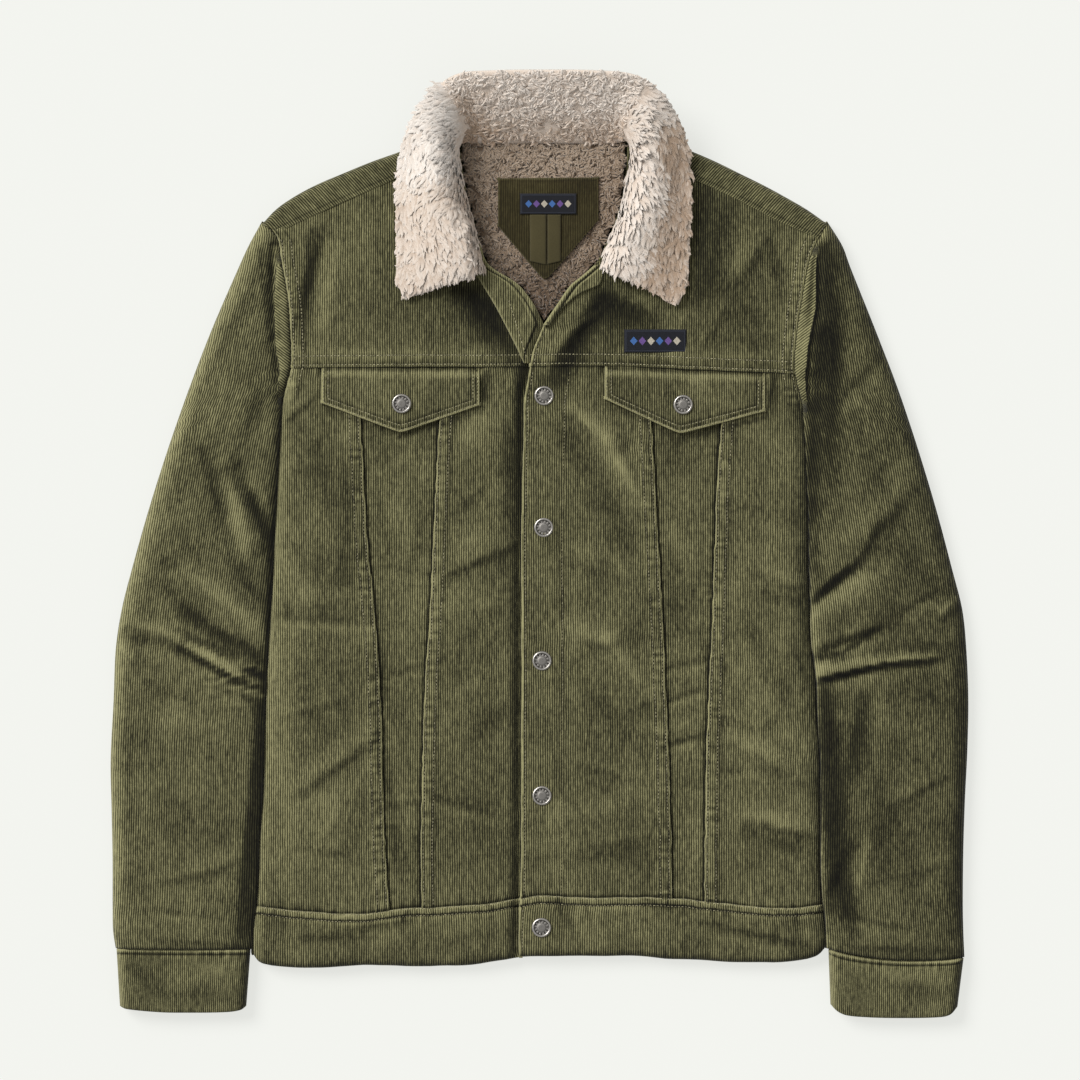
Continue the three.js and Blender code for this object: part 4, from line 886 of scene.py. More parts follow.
class Finish:
    """A node material, built from the outputs of its nodes."""

    def __init__(self, name, **constants):
        self.material = bpy.data.materials.new(name)
        self.material.use_nodes = True
        self.tree = self.material.node_tree
        self.shader = self.tree.nodes["Principled BSDF"]
        for socket, value in constants.items():
            self.shader.inputs[socket.replace("_", " ")].default_value = value

    def node(self, kind, output=0, settings=None, stops=None, **inputs):
        """Adds a node: its settings and a ramp's stops first, then its sockets by identifier."""
        made = self.tree.nodes.new(kind)
        for key, value in (settings or {}).items():
            setattr(made, key, value)
        if stops:
            ramp = made.color_ramp
            while len(ramp.elements) < len(stops):
                ramp.elements.new(0.5)
            for element, (position, colour) in zip(ramp.elements, stops):
                element.position, element.color = position, colour
        for socket in made.inputs:
            if socket.identifier in inputs:
                join(self.tree, socket, inputs[socket.identifier])
        return Wire(self.tree, made.outputs[output])

    def mix(self, a, b, factor, blend="MIX"):
        """Two colours mixed by a factor."""
        made = self.tree.nodes.new("ShaderNodeMix")
        made.data_type, made.blend_type = "RGBA", blend
        wanted = {"Factor_Float": factor, "A_Color": a, "B_Color": b}
        for socket in made.inputs:
            if socket.identifier in wanted:
                join(self.tree, socket, wanted[socket.identifier])
        return Wire(self.tree, next(s for s in made.outputs if s.identifier == "Result_Color"))

    def attribute(self, name):
        return self.node("ShaderNodeAttribute", output=2, settings={"attribute_name": name})

    def noise(self, vector, scale, detail=2.0, roughness=0.5):
        return self.node("ShaderNodeTexNoise", Vector=vector, Scale=scale, Detail=detail, Roughness=roughness)

    def vector(self, x=0.0, y=0.0, z=0.0):
        return self.node("ShaderNodeCombineXYZ", X=x, Y=y, Z=z)

    def bump(self, height, distance, strength=1.0):
        bump = self.node("ShaderNodeBump", Height=height, Distance=distance, Strength=strength)
        self.set("Normal", bump)

    def set(self, socket, value):
        join(self.tree, self.shader.inputs[socket], value)


def corduroy_finish(name, deep, ground, pale, contrast=1.0):
    """Corduroy: wales along the piece's own map, streaked pile, pale where worn; its tone value also carries painted
    light where the cloth faces the sun, and painted shade in grooves and along seams where one piece goes under
    another.
    """
    made = Finish(name, Roughness=0.92, Sheen_Weight=0.12, Sheen_Roughness=0.5, Specular_IOR_Level=0.18)
    uv = made.node("ShaderNodeUVMap", settings={"uv_map": "cloth"})
    split = made.node("ShaderNodeSeparateXYZ", Vector=uv)
    u, v = split, Wire(made.tree, split.socket.node.outputs[1])
    drift = made.noise(made.vector(u / 9, v / 16), 1.0) - 0.5
    across = (u + drift * 1.1) / WALE_PITCH
    wale = (across * (2 * math.pi)).math("COSINE") * 0.5 + 0.5
    number = (across + 0.5).math("FLOOR")
    streak = made.noise(made.vector(number * 7.31, v / 9), 1.0, 3.0, 0.6) - 0.5
    # Random broad patches of the pile.
    nap_and_painted_light = made.noise(made.vector(u / 23, v / 60), 1.0, 3.0) - 0.5
    patch = made.noise(made.vector(u / 70, v / 90, 3.0), 1.0, 2.0) - 0.5
    fuzz = made.noise(made.vector(u / 0.5, v / 0.8), 1.0, 2.0, 0.7) - 0.5
    # Wear together with painted light and painted shade, for each point.
    tone = made.attribute("tone")
    mottle = made.noise(made.vector(u / 2.6, v / 5, 7.0), 1.0, 2.0, 0.7) - 0.5
    value = (wale - 0.5) * (0.68 * contrast) + streak * (0.8 * contrast) + mottle * 0.5 + nap_and_painted_light * 0.35 + patch * 0.3 + fuzz * 0.35
    value = (value + tone * 0.42 + 0.5).within(0, 1)
    colour = made.node("ShaderNodeValToRGB", Fac=value,
                       stops=[(0, deep), (0.5, ground), (1, pale)])
    made.set("Base Color", colour)
    made.bump(wale * 0.8 + fuzz * 0.35 + streak * 0.2, 0.0004)
    return made.material


def pile_finish(name, root, middle, tip):
    """Curly pile: darker towards the roots as painted shade between the locks, cream at the tips; each lock a random
    shade of its own, plus painted light and shade by region from its shade value.
    """
    made = Finish(name, Roughness=0.9, Sheen_Weight=0.3, Sheen_Roughness=0.6, Specular_IOR_Level=0.15)
    place = made.node("ShaderNodeTexCoord", output=3)
    height, shade = made.attribute("tip"), made.attribute("shade")
    fibre = made.noise(place, 1400.0, 2.0) - 0.5
    broad = made.noise(place, 26.0, 2.0) - 0.5
    value = (height + shade * 0.3 + fibre * 0.25 + broad * 0.3).within(0, 1)
    made.set("Base Color", made.node("ShaderNodeValToRGB", Fac=value, stops=[(0, root), (0.5, middle), (1, tip)]))
    made.bump(fibre, 0.0003)
    return made.material


def tape_finish(name, deep, pale):
    """Woven tape or twill: fine diagonal ribs on Object coordinates."""
    made = Finish(name, Roughness=0.85, Sheen_Weight=0.15, Specular_IOR_Level=0.2)
    place = made.node("ShaderNodeTexCoord", output=3)
    split = made.node("ShaderNodeSeparateXYZ", Vector=place)
    x, y = split, Wire(made.tree, split.socket.node.outputs[1])
    ribs = ((x + y) * (2 * math.pi / 0.0011)).math("SINE") * 0.5 + 0.5
    grain = made.noise(place, 900.0, 3.0) - 0.5
    broad = made.noise(place, 40.0, 2.0) - 0.5
    value = (ribs * 0.5 + grain * 0.5 + broad * 0.5 + 0.25).within(0, 1)
    made.set("Base Color", made.mix(deep, pale, value))
    made.bump(ribs + grain * 0.5, 0.0001)
    return made.material


def thread_finish(name, deep, pale):
    """Sewing thread: twisted strands along each stitch, some stitches more worn than others."""
    made = Finish(name, Roughness=0.7, Sheen_Weight=0.2, Specular_IOR_Level=0.25)
    place = made.node("ShaderNodeTexCoord", output=3)
    shade = made.attribute("shade")
    grain = made.noise(place, 1600.0, 2.0) - 0.5
    made.set("Base Color", made.mix(deep, pale, (shade + grain * 0.5).within(0, 1)))
    made.bump(grain, 0.0001)
    return made.material


def label_finish(name):
    """A plain woven label: near-black, a fine pale frame and a row of small diamonds in three colours."""
    made = Finish(name, Roughness=0.75, Sheen_Weight=0.1, Specular_IOR_Level=0.25)
    uv = made.node("ShaderNodeUVMap", settings={"uv_map": "cloth"})
    split = made.node("ShaderNodeSeparateXYZ", Vector=uv)
    u, v = split, Wire(made.tree, split.socket.node.outputs[1])
    across = (u - 0.5) * 7.2 + 3
    number = across.math("FLOOR")
    beyond = (u - 0.5).math("ABSOLUTE").math("GREATER_THAN", 3 / 7.2)
    diamond = (across - number - 0.5).math("ABSOLUTE") + ((v - 0.5) * 2.4).math("ABSOLUTE")
    inside = (1 - diamond.math("GREATER_THAN", 0.44)) * (1 - beyond)
    third = number.math("MODULO", 3.0)
    violet = third.math("GREATER_THAN", 0.5)
    cream = third.math("GREATER_THAN", 1.5)
    motif = made.mix(made.mix(linear(70, 112, 176), linear(112, 84, 150), violet), linear(196, 188, 172), cream)
    edge = (u - 0.5).math("ABSOLUTE").math("GREATER_THAN", 0.465)
    rim = (v - 0.5).math("ABSOLUTE").math("GREATER_THAN", 0.41)
    framed = edge.math("MAXIMUM", rim)
    outer = (u - 0.5).math("ABSOLUTE").math("GREATER_THAN", 0.478).math(
        "MAXIMUM", (v - 0.5).math("ABSOLUTE").math("GREATER_THAN", 0.445))
    ground = made.mix(linear(26, 28, 36), linear(48, 52, 64), framed - outer)
    weave = (v * 340).math("SINE") * 0.5 + (u * 900).math("SINE") * 0.5
    made.set("Base Color", made.mix(ground, motif, inside))
    made.bump(weave, 0.0001)
    return made.material


def metal_finish(name):
    """Aged nickel: brushed, darker where the hollows keep their patina."""
    made = Finish(name, Metallic=0.9, Specular_IOR_Level=0.5)
    place = made.node("ShaderNodeTexCoord", output=3)
    tone = made.attribute("tone")
    grain = made.noise(place, 1500.0, 3.0) - 0.5
    value = (tone + grain * 0.35).within(0, 1)
    made.set("Base Color", made.mix(linear(44, 41, 38), linear(190, 186, 180), value))
    made.set("Roughness", 0.62 - value * 0.3)
    made.bump(grain, 0.00006)
    return made.material


def floor_finish(name):
    """A light table's matt top: most of its brightness is its own, so that shadows stay faint."""
    made = Finish(name, Roughness=0.95, Specular_IOR_Level=0.0, Emission_Strength=0.7)
    place = made.node("ShaderNodeTexCoord", output=3)
    grain = made.noise(place, 3.0, 2.0)
    made.set("Base Color", made.mix(linear(121, 122, 120), linear(122, 123, 121), grain))
    made.set("Emission Color", (1, 1.01, 0.965, 1))
    return made.material


CORDUROY = corduroy_finish("corduroy", linear(15, 14, 6), linear(72, 70, 45), linear(152, 148, 108))
# A darker, lower-contrast copy of the corduroy for the patch inside the neck: painted shade.
SHADED_CORDUROY_PATCH = corduroy_finish("corduroy_patch", linear(18, 16, 8), linear(50, 44, 22), linear(88, 82, 52), 0.5)
PILE = pile_finish("pile", linear(180, 156, 134), linear(226, 211, 197), linear(242, 234, 226))
# A darker, browner copy of the pile for the lining inside the neck: painted shade of that hollow.
SHADED_LINING_PILE = pile_finish("lining_pile", linear(84, 66, 49), linear(134, 115, 96), linear(176, 158, 139))
TAPE = tape_finish("tape", linear(52, 47, 25), linear(84, 77, 50))
THREAD = thread_finish("thread", linear(84, 80, 54), linear(178, 172, 136))
LABEL_WEAVE = label_finish("label_weave")
METAL = metal_finish("snap_metal")

LAP_LINES = (0, 0.4, 0.9, 1.5, 2.1, 2.8, 3.9, 5.2, 6.6, 7.9, 8.8, 9.5, 10.3, 11.4, 13)
SIDE_LINES = (0, 0.5, 1.2, 2.2, 3.6, 5.4, 7.6, 10, 12.6)
PLACKET_LINES = (0, 0.4, 0.9, 1.6, 2.4, 3.2, 4, 5.2, 7, 9.2, 11.5)
TUCKED = (-5, -2, 0, 1, 2.4, 4.4)
CHEST_LINES = (9, 5.5, 3, 1.5, 0.5, -1, -4)
WAIST_LINES = (-5, -2, 0, 0.8, 1.8, 3, 5, 7.5)
BAND_LINES = (0, 0.4, 0.9, 1.6, 2.6, 3.8, 5, 5.8, 6.6, 7.4, 8.6, 10.6)
YOKE_LINES = (0, 0.4, 0.9, 1.6, 2.4, 3.2, 5, 7, 8.8, 9.8, 10.8, 12.6)
UNDERLAP_LINES = (52, 49, 46, 43, 40, 38, 36.5, 35, 33.5, 20, 0)
CELL = 3.2


def back(distances):
    """The same distances counted from the far edge."""
    return tuple(reversed(distances))


def cells(length):
    return max(int(round(length / CELL)), 2)


def panel_points(panel):
    """The grid of a panel's points and its tone."""
    x, y = lay(panel)
    height, tone = relief(panel.seams, x, y)
    points = stack(x, y, panel.ground(x, y) + height + creased(x, y))
    # The tone adds painted light by the cloth's slope towards the sun, and the body's painted light and shade.
    return points, tone + nap_and_painted_light(points) + fold_height(body_painted_shading, x, y)


LAP_TURN = [(0.25, 0.5), (0.9, 0.8), (3, 0.85)]
body_seams = [Seam(below_chest, along_x, "under_yoke", 21), Seam(above_waist, along_x, "above_band", 22)]


def front_panels():
    """The six panels between the chest and the waistband: centre and side fronts lap over the pocket panels."""
    up = lines(WAIST_LINES, cells(425), CHEST_LINES)
    pocket = lambda x, y: front_top(x, y) - POCKET_DROP
    outer_left, inner_left = slant("outer_left"), slant("inner_left")
    inner_right, outer_right = slant("inner_right"), slant("outer_right")
    side_left = Panel(body_left, outer_left, waist, chest, lines(SIDE_LINES, cells(68), back(LAP_LINES)), up,
                      front_top, [Seam(from_slant("outer_left", -1), along_y, "lap", 31),
                                  Seam(from_left, along_y, "armhole", 32), *body_seams])
    pocket_left = Panel(outer_left, inner_left, waist, chest, lines(TUCKED, cells(44), back(TUCKED)), up,
                        pocket, [Seam(from_slant("outer_left", 1), along_y, "under", 33),
                                 Seam(from_slant("inner_left", -1), along_y, "under", 34), *body_seams])
    centre_left = Panel(inner_left, underlap_edge, waist, chest, lines(LAP_LINES, cells(52), UNDERLAP_LINES),
                        up, left_top, [Seam(from_slant("inner_left", 1), along_y, "lap", 35), *body_seams])
    centre_right = Panel(placket_edge, inner_right, waist, chest,
                         lines(PLACKET_LINES, cells(92), back(LAP_LINES)), up, front_top,
                         [Seam(from_slant("inner_right", -1), along_y, "lap", 36),
                          Seam(from_placket, along_y, "placket", 37), *body_seams])
    pocket_right = Panel(inner_right, outer_right, waist, chest, lines(TUCKED, cells(40), back(TUCKED)), up,
                         pocket, [Seam(from_slant("inner_right", 1), along_y, "under", 38),
                                  Seam(from_slant("outer_right", -1), along_y, "under", 39), *body_seams])
    side_right = Panel(outer_right, body_right, waist, chest, lines(LAP_LINES, cells(58), back(SIDE_LINES)), up,
                       front_top, [Seam(from_slant("outer_right", 1), along_y, "lap", 40),
                                   Seam(from_right, along_y, "armhole", 41), *body_seams])
    return {"side_front_left": (side_left, "left", ["right"]), "pocket_panel_left": (pocket_left, None, []),
            "centre_front_left": (centre_left, None, ["left"]), "centre_front_right": (centre_right, None, ["left", "right"]),
            "pocket_panel_right": (pocket_right, None, []), "side_front_right": (side_right, "right", ["left"])}


FRONT_PANELS = front_panels()
SIDE_FLOOR = 5.0


def build_panel(node, panel, closed, turned):
    """A panel's shell, with its side closed down to the back's edge and its lapped edges turned under."""
    points, tone = panel_points(panel)
    if closed:
        points = close_down(points, closed, SIDE_FLOOR)
        tone = pad_tone(tone, points, **{closed: 4})
    for side in turned:
        points = turn(points, side, LAP_TURN)
        tone = pad_tone(tone, points, **{side: len(LAP_TURN)})
    return cloth(node, points, tone, CORDUROY)


def add_fronts():
    made = {}
    for node, (panel, closed, turned) in FRONT_PANELS.items():
        made[node] = build_panel(node, panel, closed, turned)
    return made


def yoke_panels():
    """The two front yokes, from the chest seam to the shoulder seam."""
    up = lines(YOKE_LINES, cells(120), (6, 3, 1.5, 0.5, -3))
    left = Panel(body_left, neck_left, chest, shoulder, lines(LAP_LINES, cells(130), UNDERLAP_LINES), up,
                 left_top, [Seam(above_chest, along_x, "yoke", 51), Seam(from_left, along_y, "armhole", 32)])
    right = Panel(neck_right, body_right, chest, shoulder, lines(PLACKET_LINES, cells(140), back(LAP_LINES)), up,
                  front_top, [Seam(above_chest, along_x, "yoke", 51), Seam(from_right, along_y, "armhole", 41),
                              Seam(lambda x, y: np.where(y < 190, from_placket(x, y), 60), along_y, "placket", 37)])
    return {"front_yoke_left": (left, "left", ["low"]), "front_yoke_right": (right, "right", ["left", "low"])}


def band_panels():
    """The two fronts of the waistband."""
    up = lines((0, 0.6, 1.6, 3, 5), cells(28), back(BAND_LINES))
    left = Panel(body_left, underlap_edge, hemline, waist, lines(SIDE_LINES, cells(180), UNDERLAP_LINES), up,
                 left_top, [Seam(below_waist, along_x, "band", 61)])
    right = Panel(placket_edge, body_right, hemline, waist, lines(PLACKET_LINES, cells(220), back(SIDE_LINES)), up,
                  front_top, [Seam(below_waist, along_x, "band", 61), Seam(from_placket, along_y, "placket", 37)])
    return {"waistband_left": (left, "left", []), "waistband_right": (right, "right", ["left"])}


YOKE_PANELS = yoke_panels()
BAND_PANELS = band_panels()
HEM_INSIDE = [(0.2, 1.2), (0.6, 2.6), (2, 4), (9, 4.2)]


def add_bands():
    made = {}
    for node, (panel, closed, turned) in BAND_PANELS.items():
        points, tone = panel_points(panel)
        points = close_down(points, closed, SIDE_FLOOR)
        tone = pad_tone(tone, points, **{closed: 4})
        for side in turned:
            points = turn(points, side, LAP_TURN)
            tone = pad_tone(tone, points, **{side: len(LAP_TURN)})
        points = turn(points, "low", HEM_INSIDE)
        tone = pad_tone(tone, points, low=len(HEM_INSIDE))
        points = turn(points, "high", [(0.2, 0.6), (1.5, 0.9)])
        tone = pad_tone(tone, points, high=2)
        made[node] = cloth(node, points, tone, CORDUROY)
    return made


def add_yokes():
    made = {}
    for node, (panel, closed, turned) in YOKE_PANELS.items():
        made[node] = build_panel(node, panel, closed, turned)
    return made


def back_underside(x, y):
    """Underside of the back: level, and rounded up at the side folds."""
    return SIDE_EDGE["back"] * (1 - rounding(to_side(x, y), SIDE_EDGE["back_reach"])) * side_fold(y)


def add_back():
    """The back's panel and its waistband, outside down: level shells, closed up at the sides."""
    made = {}
    spread = lines((0, 0.8, 2, 4, 6, 8), 66, (8, 6, 4, 2, 0.8, 0))
    level_waist = lambda x: BACK_WAIST_Y + 0 * x
    level_yoke = lambda x: BACK_YOKE_Y + 0 * x
    pieces = {
        "back_panel": (level_waist, level_yoke, lines((0,), 70, (0,))),
        "waistband_back": (hemline, level_waist, lines((0, 1, 3), 8, (3, 0))),
    }
    for node, (low, high, up) in pieces.items():
        panel = Panel(body_left, body_right, low, high, spread, up, back_underside, [])
        x, y = lay(panel)
        z = back_underside(x, y) + 0.12 * (1 + wander(x, y, 30, 8))
        points = close_down(close_down(stack(x, y, z), "left", SIDE_FLOOR), "right", SIDE_FLOOR)
        if node == "waistband_back":
            points = turn(points, "low", [(-0.6, -1), (-0.7, -3), (0.4, -5), (9, -5.2)])
        made[node] = cloth(node, points, 0, CORDUROY, flip=True)
    return made


def add_back_yoke():
    """The back yoke: level below, rolled round the shoulder fold, then over to the front's shoulder seam.

    Past the fold's foot each line turns through its share of a half circle, then runs on straight.
    """
    fold = lambda x: read(shoulder_fold, "x", "y", x)
    radius = SHOULDER_FOLD["radius"]
    level = Panel(body_left, body_right, lambda x: BACK_YOKE_Y + 0 * x, lambda x: fold(x) - radius,
                  lines((0, 2, 5), 150, (5, 2, 0)), lines((0,), 16, (0,)), None, [])
    x, y = lay(level)
    rows = [stack(x, y, 0 * x)]
    foot = x[-1]
    share = np.clip(read(roll_over, "x", "share", foot), 0, 1)
    near_left, near_right = 1 - ease(0, 24, foot - foot[0]), 1 - ease(0, 24, foot[-1] - foot)
    for turned, past in [(k / 10, 0) for k in range(1, 11)] + [(1, k / 12) for k in range(1, 13)]:
        edge = mix(fold(foot) - radius, shoulder(foot), share * past)
        corner, out = shoulder_fold["y"][0], math.sin(math.pi * turned)
        at = foot + near_left * out * (body_left(corner) - 1.7 - foot[0])
        at = at + near_right * out * (body_right(corner) + 1.7 - foot[-1])
        at = np.clip(at, body_left(edge) - 1.4, body_right(edge) + 1.4) if past else at
        angle = np.radians(mix(SHOULDER_FOLD["flat_angle"], 180, share)) * turned
        end = fold(at) - radius - shoulder(at) - 0.15
        length = mix(SHOULDER_FOLD["short_end"], end, share) * past
        place_y = fold(at) - radius + radius * np.sin(angle) + length * np.cos(angle)
        soft = (soft_top(at, place_y) - BODY_HEIGHT) * share * past
        height = radius - radius * np.cos(angle) + length * np.sin(angle) + soft
        rows.append(stack(at, place_y, height + 0.6 * share * past)[None])
    points = np.concatenate(rows)
    tone = np.zeros(points.shape[:2])
    tone[-1] = 0.6
    tone[-4] = -0.4
    slope = np.where(points[..., 0] < 4, 1, -1)
    step = np.linalg.norm(np.diff(points[..., 1:], axis=0, prepend=points[:1, :, 1:]), axis=-1)
    along = np.cumsum(step, axis=0)
    along = shoulder(foot) + along[-1] - along
    uv = np.stack([slope * points[..., 0] * 0.75 + along * 0.66, along], axis=-1)
    return {"back_yoke": cloth("back_yoke", points, tone, CORDUROY, flip=True, uv=uv)}


def sleeve_sheet(side, row, share):
    """A place on the sleeve, its distance across from the inner edge, and the row's width."""
    rows = sleeves[side]
    inner_y = read(rows, "row", "inner_y", row)
    sign, edge = (-1, body_left(inner_y)) if side == "left" else (1, body_right(inner_y))
    outer_x, outer_y = read(rows, "row", "outer_x", row), read(rows, "row", "outer_y", row)
    inner_x = edge + sign * ARMHOLE["gap"]
    width = np.hypot(inner_x - outer_x, inner_y - outer_y)
    sag = read(rows, "row", "sag", row) * 4 * share * (1 - share)
    return mix(outer_x, inner_x, share), mix(outer_y, inner_y, share) - sag, width


def sleeve_columns(side, row):
    """Shares across the sleeve, from its outer edge: close at both edges and at the roll beside the armhole."""
    inner_y = read(sleeves[side], "row", "inner_y", row)
    _, _, width = sleeve_sheet(side, row, np.zeros(row.shape))
    roll = read(head_roll, "y", side, inner_y)
    narrow = np.minimum(width / 60, 1)
    roll = roll * narrow
    near = np.array([0, 0.4, 1, 2, 3.4, 5.2, 7.4, 10, 13]) * narrow / width
    past = np.array([8, 5, 3, 1.6, 0.6]) * narrow
    middle = near[:, -1:] + (1 - (roll + past[:, :1]) / width - near[:, -1:]) * np.arange(1, 32) / 32
    beyond = 1 - (roll + past) / width
    within = 1 - roll * np.array([1, 0.97, 0.85, 0.7, 0.5, 0.3, 0.12, 0]) / width
    return np.concatenate([near, middle, beyond, within], axis=1), roll, width


def sleeve_top(side, row, share, roll):
    """Top of the sleeve: the crown less a quarter circle at both edges, with folds, and the head's roll."""
    x, y, width = sleeve_sheet(side, row, share)
    inner_edge = np.maximum(read(sleeves[side], "row", "inner_z", row), SLEEVE["inner_edge"])
    from_inner = (1 - share) * width
    outer_drop = 1 - rounding(share * width, SLEEVE["reach"])
    inner_drop = 1 - rounding(from_inner, SLEEVE["inner_reach"])
    drop = (SLEEVE["crown"] - SLEEVE["outer_edge"]) * outer_drop + (SLEEVE["crown"] - inner_edge) * inner_drop
    fold = FOLD_DEPTH * (fold_height(sleeve_folds, x, y) + fold_height(sleeve_creases, x, y))
    z = SLEEVE["crown"] - drop + fold * (1 - 0.7 * outer_drop) * (1 - 0.5 * inner_drop)
    inner = 1 - 0.8 * np.maximum(outer_drop, inner_drop)
    own = wander(x, y, 55, 13) + 0.5 * wander(x, y, 28, 14) + 0.2 * wander(x, y, 12, 15)
    z = np.maximum(z, SLEEVE["outer_edge"]) + own * inner
    head = ease(3.2, 7, roll)
    past = from_inner - roll
    ridge = head * (1.9 * np.where(past < 0, bell(past, 5), bell(past, 1.3)) - 0.8 * bell(past - 4, 3))
    # Tone: the roll paler, a painted shadow just past it, painted shade along the inner edge beside the body, and the
    # sleeves' painted light and shade.
    tone = head * np.where(past < 0, 0.25 + 0.4 * bell(past, 2), -0.9 * bell(past, 2.5))
    z = z + ridge + 0.2 * fold_height(sleeve_painted_shading, x, y) * inner
    tone = tone + fold_height(sleeve_painted_shading, x, y) + nap_and_painted_light(stack(x, y, z)) - 0.5 * bell(from_inner, 1)
    return x, y, z, tone


def sleeve_wales(side, x, y, row, share, roll, width):
    """Across and along the wales: across the sleeve's middle line, and slanting within the head's roll."""
    middle_x, middle_y, _ = sleeve_sheet(side, row, np.full(row.shape, 0.5))
    run_x, run_y = np.gradient(middle_x[:, 0]), np.gradient(middle_y[:, 0])
    long = np.hypot(run_x, run_y)
    normal_x, normal_y = (-run_y / long)[:, None], (run_x / long)[:, None]
    along = np.cumsum(long)[:, None] + 0 * x
    across = (x - middle_x) * normal_x + (y - middle_y) * normal_y
    sign = 1 if side == "left" else -1
    slanted = y * 0.8 * sign + x * 0.6
    in_roll = ((1 - share) * width < roll * 0.985) * ease(3.2, 5, roll)
    return np.stack([mix(across, slanted, in_roll), along], axis=-1)


def add_sleeves():
    made = {}
    for side in ("left", "right"):
        last = len(sleeves[side]["row"]) - 1
        row = np.linspace(0, last, 230)[:, None]
        share, roll, width = sleeve_columns(side, row)
        x, y, z, tone = sleeve_top(side, row, share, roll)
        end = (last - row) * 22
        gathers = pucker(x, 6, 71) * np.exp(-end / 9)
        z = z + 0.5 * gathers - 0.8 * bell(end, 2.4)
        # Painted shade where the sleeve goes into the cuff.
        tone = tone + 0.15 * gathers - 0.7 * bell(end, 1.8)
        uv = sleeve_wales(side, x, y, row, share, roll, width)
        points = stack(x, y, z)
        left = side == "left"
        outer, inner = ("left", "right") if left else ("right", "left")
        if not left:
            points, tone, uv = points[:, ::-1], tone[:, ::-1], uv[:, ::-1]
        points = close_down(close_down(points, outer, SIDE_FLOOR), inner, SIDE_FLOOR, bulge=0)
        tone = pad_tone(tone, points, left=4, right=4)
        uv = np.pad(uv, ((0, 0), (4, 4), (0, 0)), mode="edge")
        uv[:, :4, 0] += np.arange(-4, 0) * 1.2
        uv[:, -4:, 0] += np.arange(1, 5) * 1.2
        made[f"top_sleeve_{side}"] = cloth(f"top_sleeve_{side}", points, tone, CORDUROY, flip=True, uv=uv)
        row = np.linspace(0, last, 120)[:, None]
        share = np.array([0, 0.01, 0.03, 0.06, 0.1, 0.2, 0.35, 0.5, 0.65, 0.8, 0.9, 0.94, 0.97, 0.99, 1])[None]
        x, y, width = sleeve_sheet(side, row, share)
        edge = np.minimum(share, 1 - share) * width
        z = SLEEVE["floor_round"] * (1 - rounding(edge, SLEEVE["floor_reach"]))
        points = stack(x, y, z)
        if not left:
            points = points[:, ::-1]
        points = close_down(close_down(points, outer, SIDE_FLOOR), inner, SIDE_FLOOR, bulge=0)
        made[f"under_sleeve_{side}"] = cloth(f"under_sleeve_{side}", points, 0, CORDUROY)
    return made


def cuff_points(side, inset, down, around):
    """A flattened tube: two level sides joined by half circles, from the sleeve's seam to the free end."""
    at = lambda name, share: read(cuffs[side], "share", name, share)
    radius = CUFF["height"] / 2
    long = (at("x", 1) - at("x", 0)) / 2
    flat = long - radius
    arc = math.pi * radius
    total = 4 * flat + 2 * arc
    s = around * total
    first = np.clip(s, 0, 2 * flat)
    turn_right = np.clip((s - 2 * flat) / arc, 0, 1)
    second = np.clip(s - 2 * flat - arc, 0, 2 * flat)
    turn_left = np.clip((s - 4 * flat - arc) / arc, 0, 1)
    half = radius - inset
    offset = first - flat - second + half * (np.sin(math.pi * turn_right) - np.sin(math.pi * turn_left))
    height = half * (np.cos(math.pi * turn_left) - np.cos(math.pi * turn_right) - 1)
    share = offset / (2 * long) + 0.5
    x = mix(at("x", share), at("end_x", share), down)
    y = mix(at("seam", share), at("end", share), down)
    return x, y, height + radius, share


def add_cuffs():
    made = {}
    around = np.linspace(0, 1, 150, endpoint=False)[None]
    for side in ("left", "right"):
        down = np.array([0, 0.02, 0.04, 0.06, 0.075, 0.09, 0.11, 0.16, 0.24, 0.34, 0.46, 0.58, 0.7, 0.8, 0.87, 0.93,
                         0.97, 1])[:, None]
        x, y, z, share = cuff_points(side, 0, down, around)
        length = CUFF["height"] * 3.2
        d = down * length
        gathers = pucker(x, 6.5, 81) * bell(d - 4, 5)
        out = 0.5 * gathers - 0.8 * (1 - rounding(d, 1.2)) - 0.9 * (1 - rounding(length - d, 1.4))
        out = out - 0.5 * bell(d - 3.7, 0.8) - 0.3 * bell(length - d - 3, 0.9)
        z = z + out * np.sign(z - CUFF["height"] / 2) * np.clip(np.abs(z - CUFF["height"] / 2) / 4, 0, 1)
        z = np.maximum(z, 0.05)
        tone = 0.9 * bell(d - 0.4, 1.2) + 0.3 * gathers - 1.1 * bell(d - 3.7, 0.7) + 0.5 * bell(length - d, 1.2)
        z = z + 0.35 * wander(x, y, 16, 83) * (z > 8)
        points = stack(x, y, z)
        # Painted light by the cuff's slope, and the cuffs' painted light and shade, on its top.
        tone = tone + np.where(z > 8, nap_and_painted_light(points) + fold_height(cuff_painted_shading, x, y), 0)
        under_x, under_y, under_z, _ = cuff_points(side, 1.6, np.array([[-0.09], [-0.03]]), around)
        inside_x, inside_y, inside_z, _ = cuff_points(side, 3, np.array([[1.0], [0.9], [0.75]]), around)
        points = np.concatenate([stack(under_x, under_y, under_z), points, stack(inside_x, inside_y + 0.4, inside_z)])
        tone = np.broadcast_to(tone, (len(down), around.shape[1]))
        # The lines under the seam and inside the free end get painted shade.
        tone = np.pad(tone, ((2, 3), (0, 0)), constant_values=-0.9)
        u = np.broadcast_to(around * (4 * 55 + 47), tone.shape)
        uv = np.stack([u, points[..., 1]], axis=-1)
        made[f"cuff_{side}"] = cloth(f"cuff_{side}", points, tone, CORDUROY, ring=True, flip=False, uv=uv)
    return made


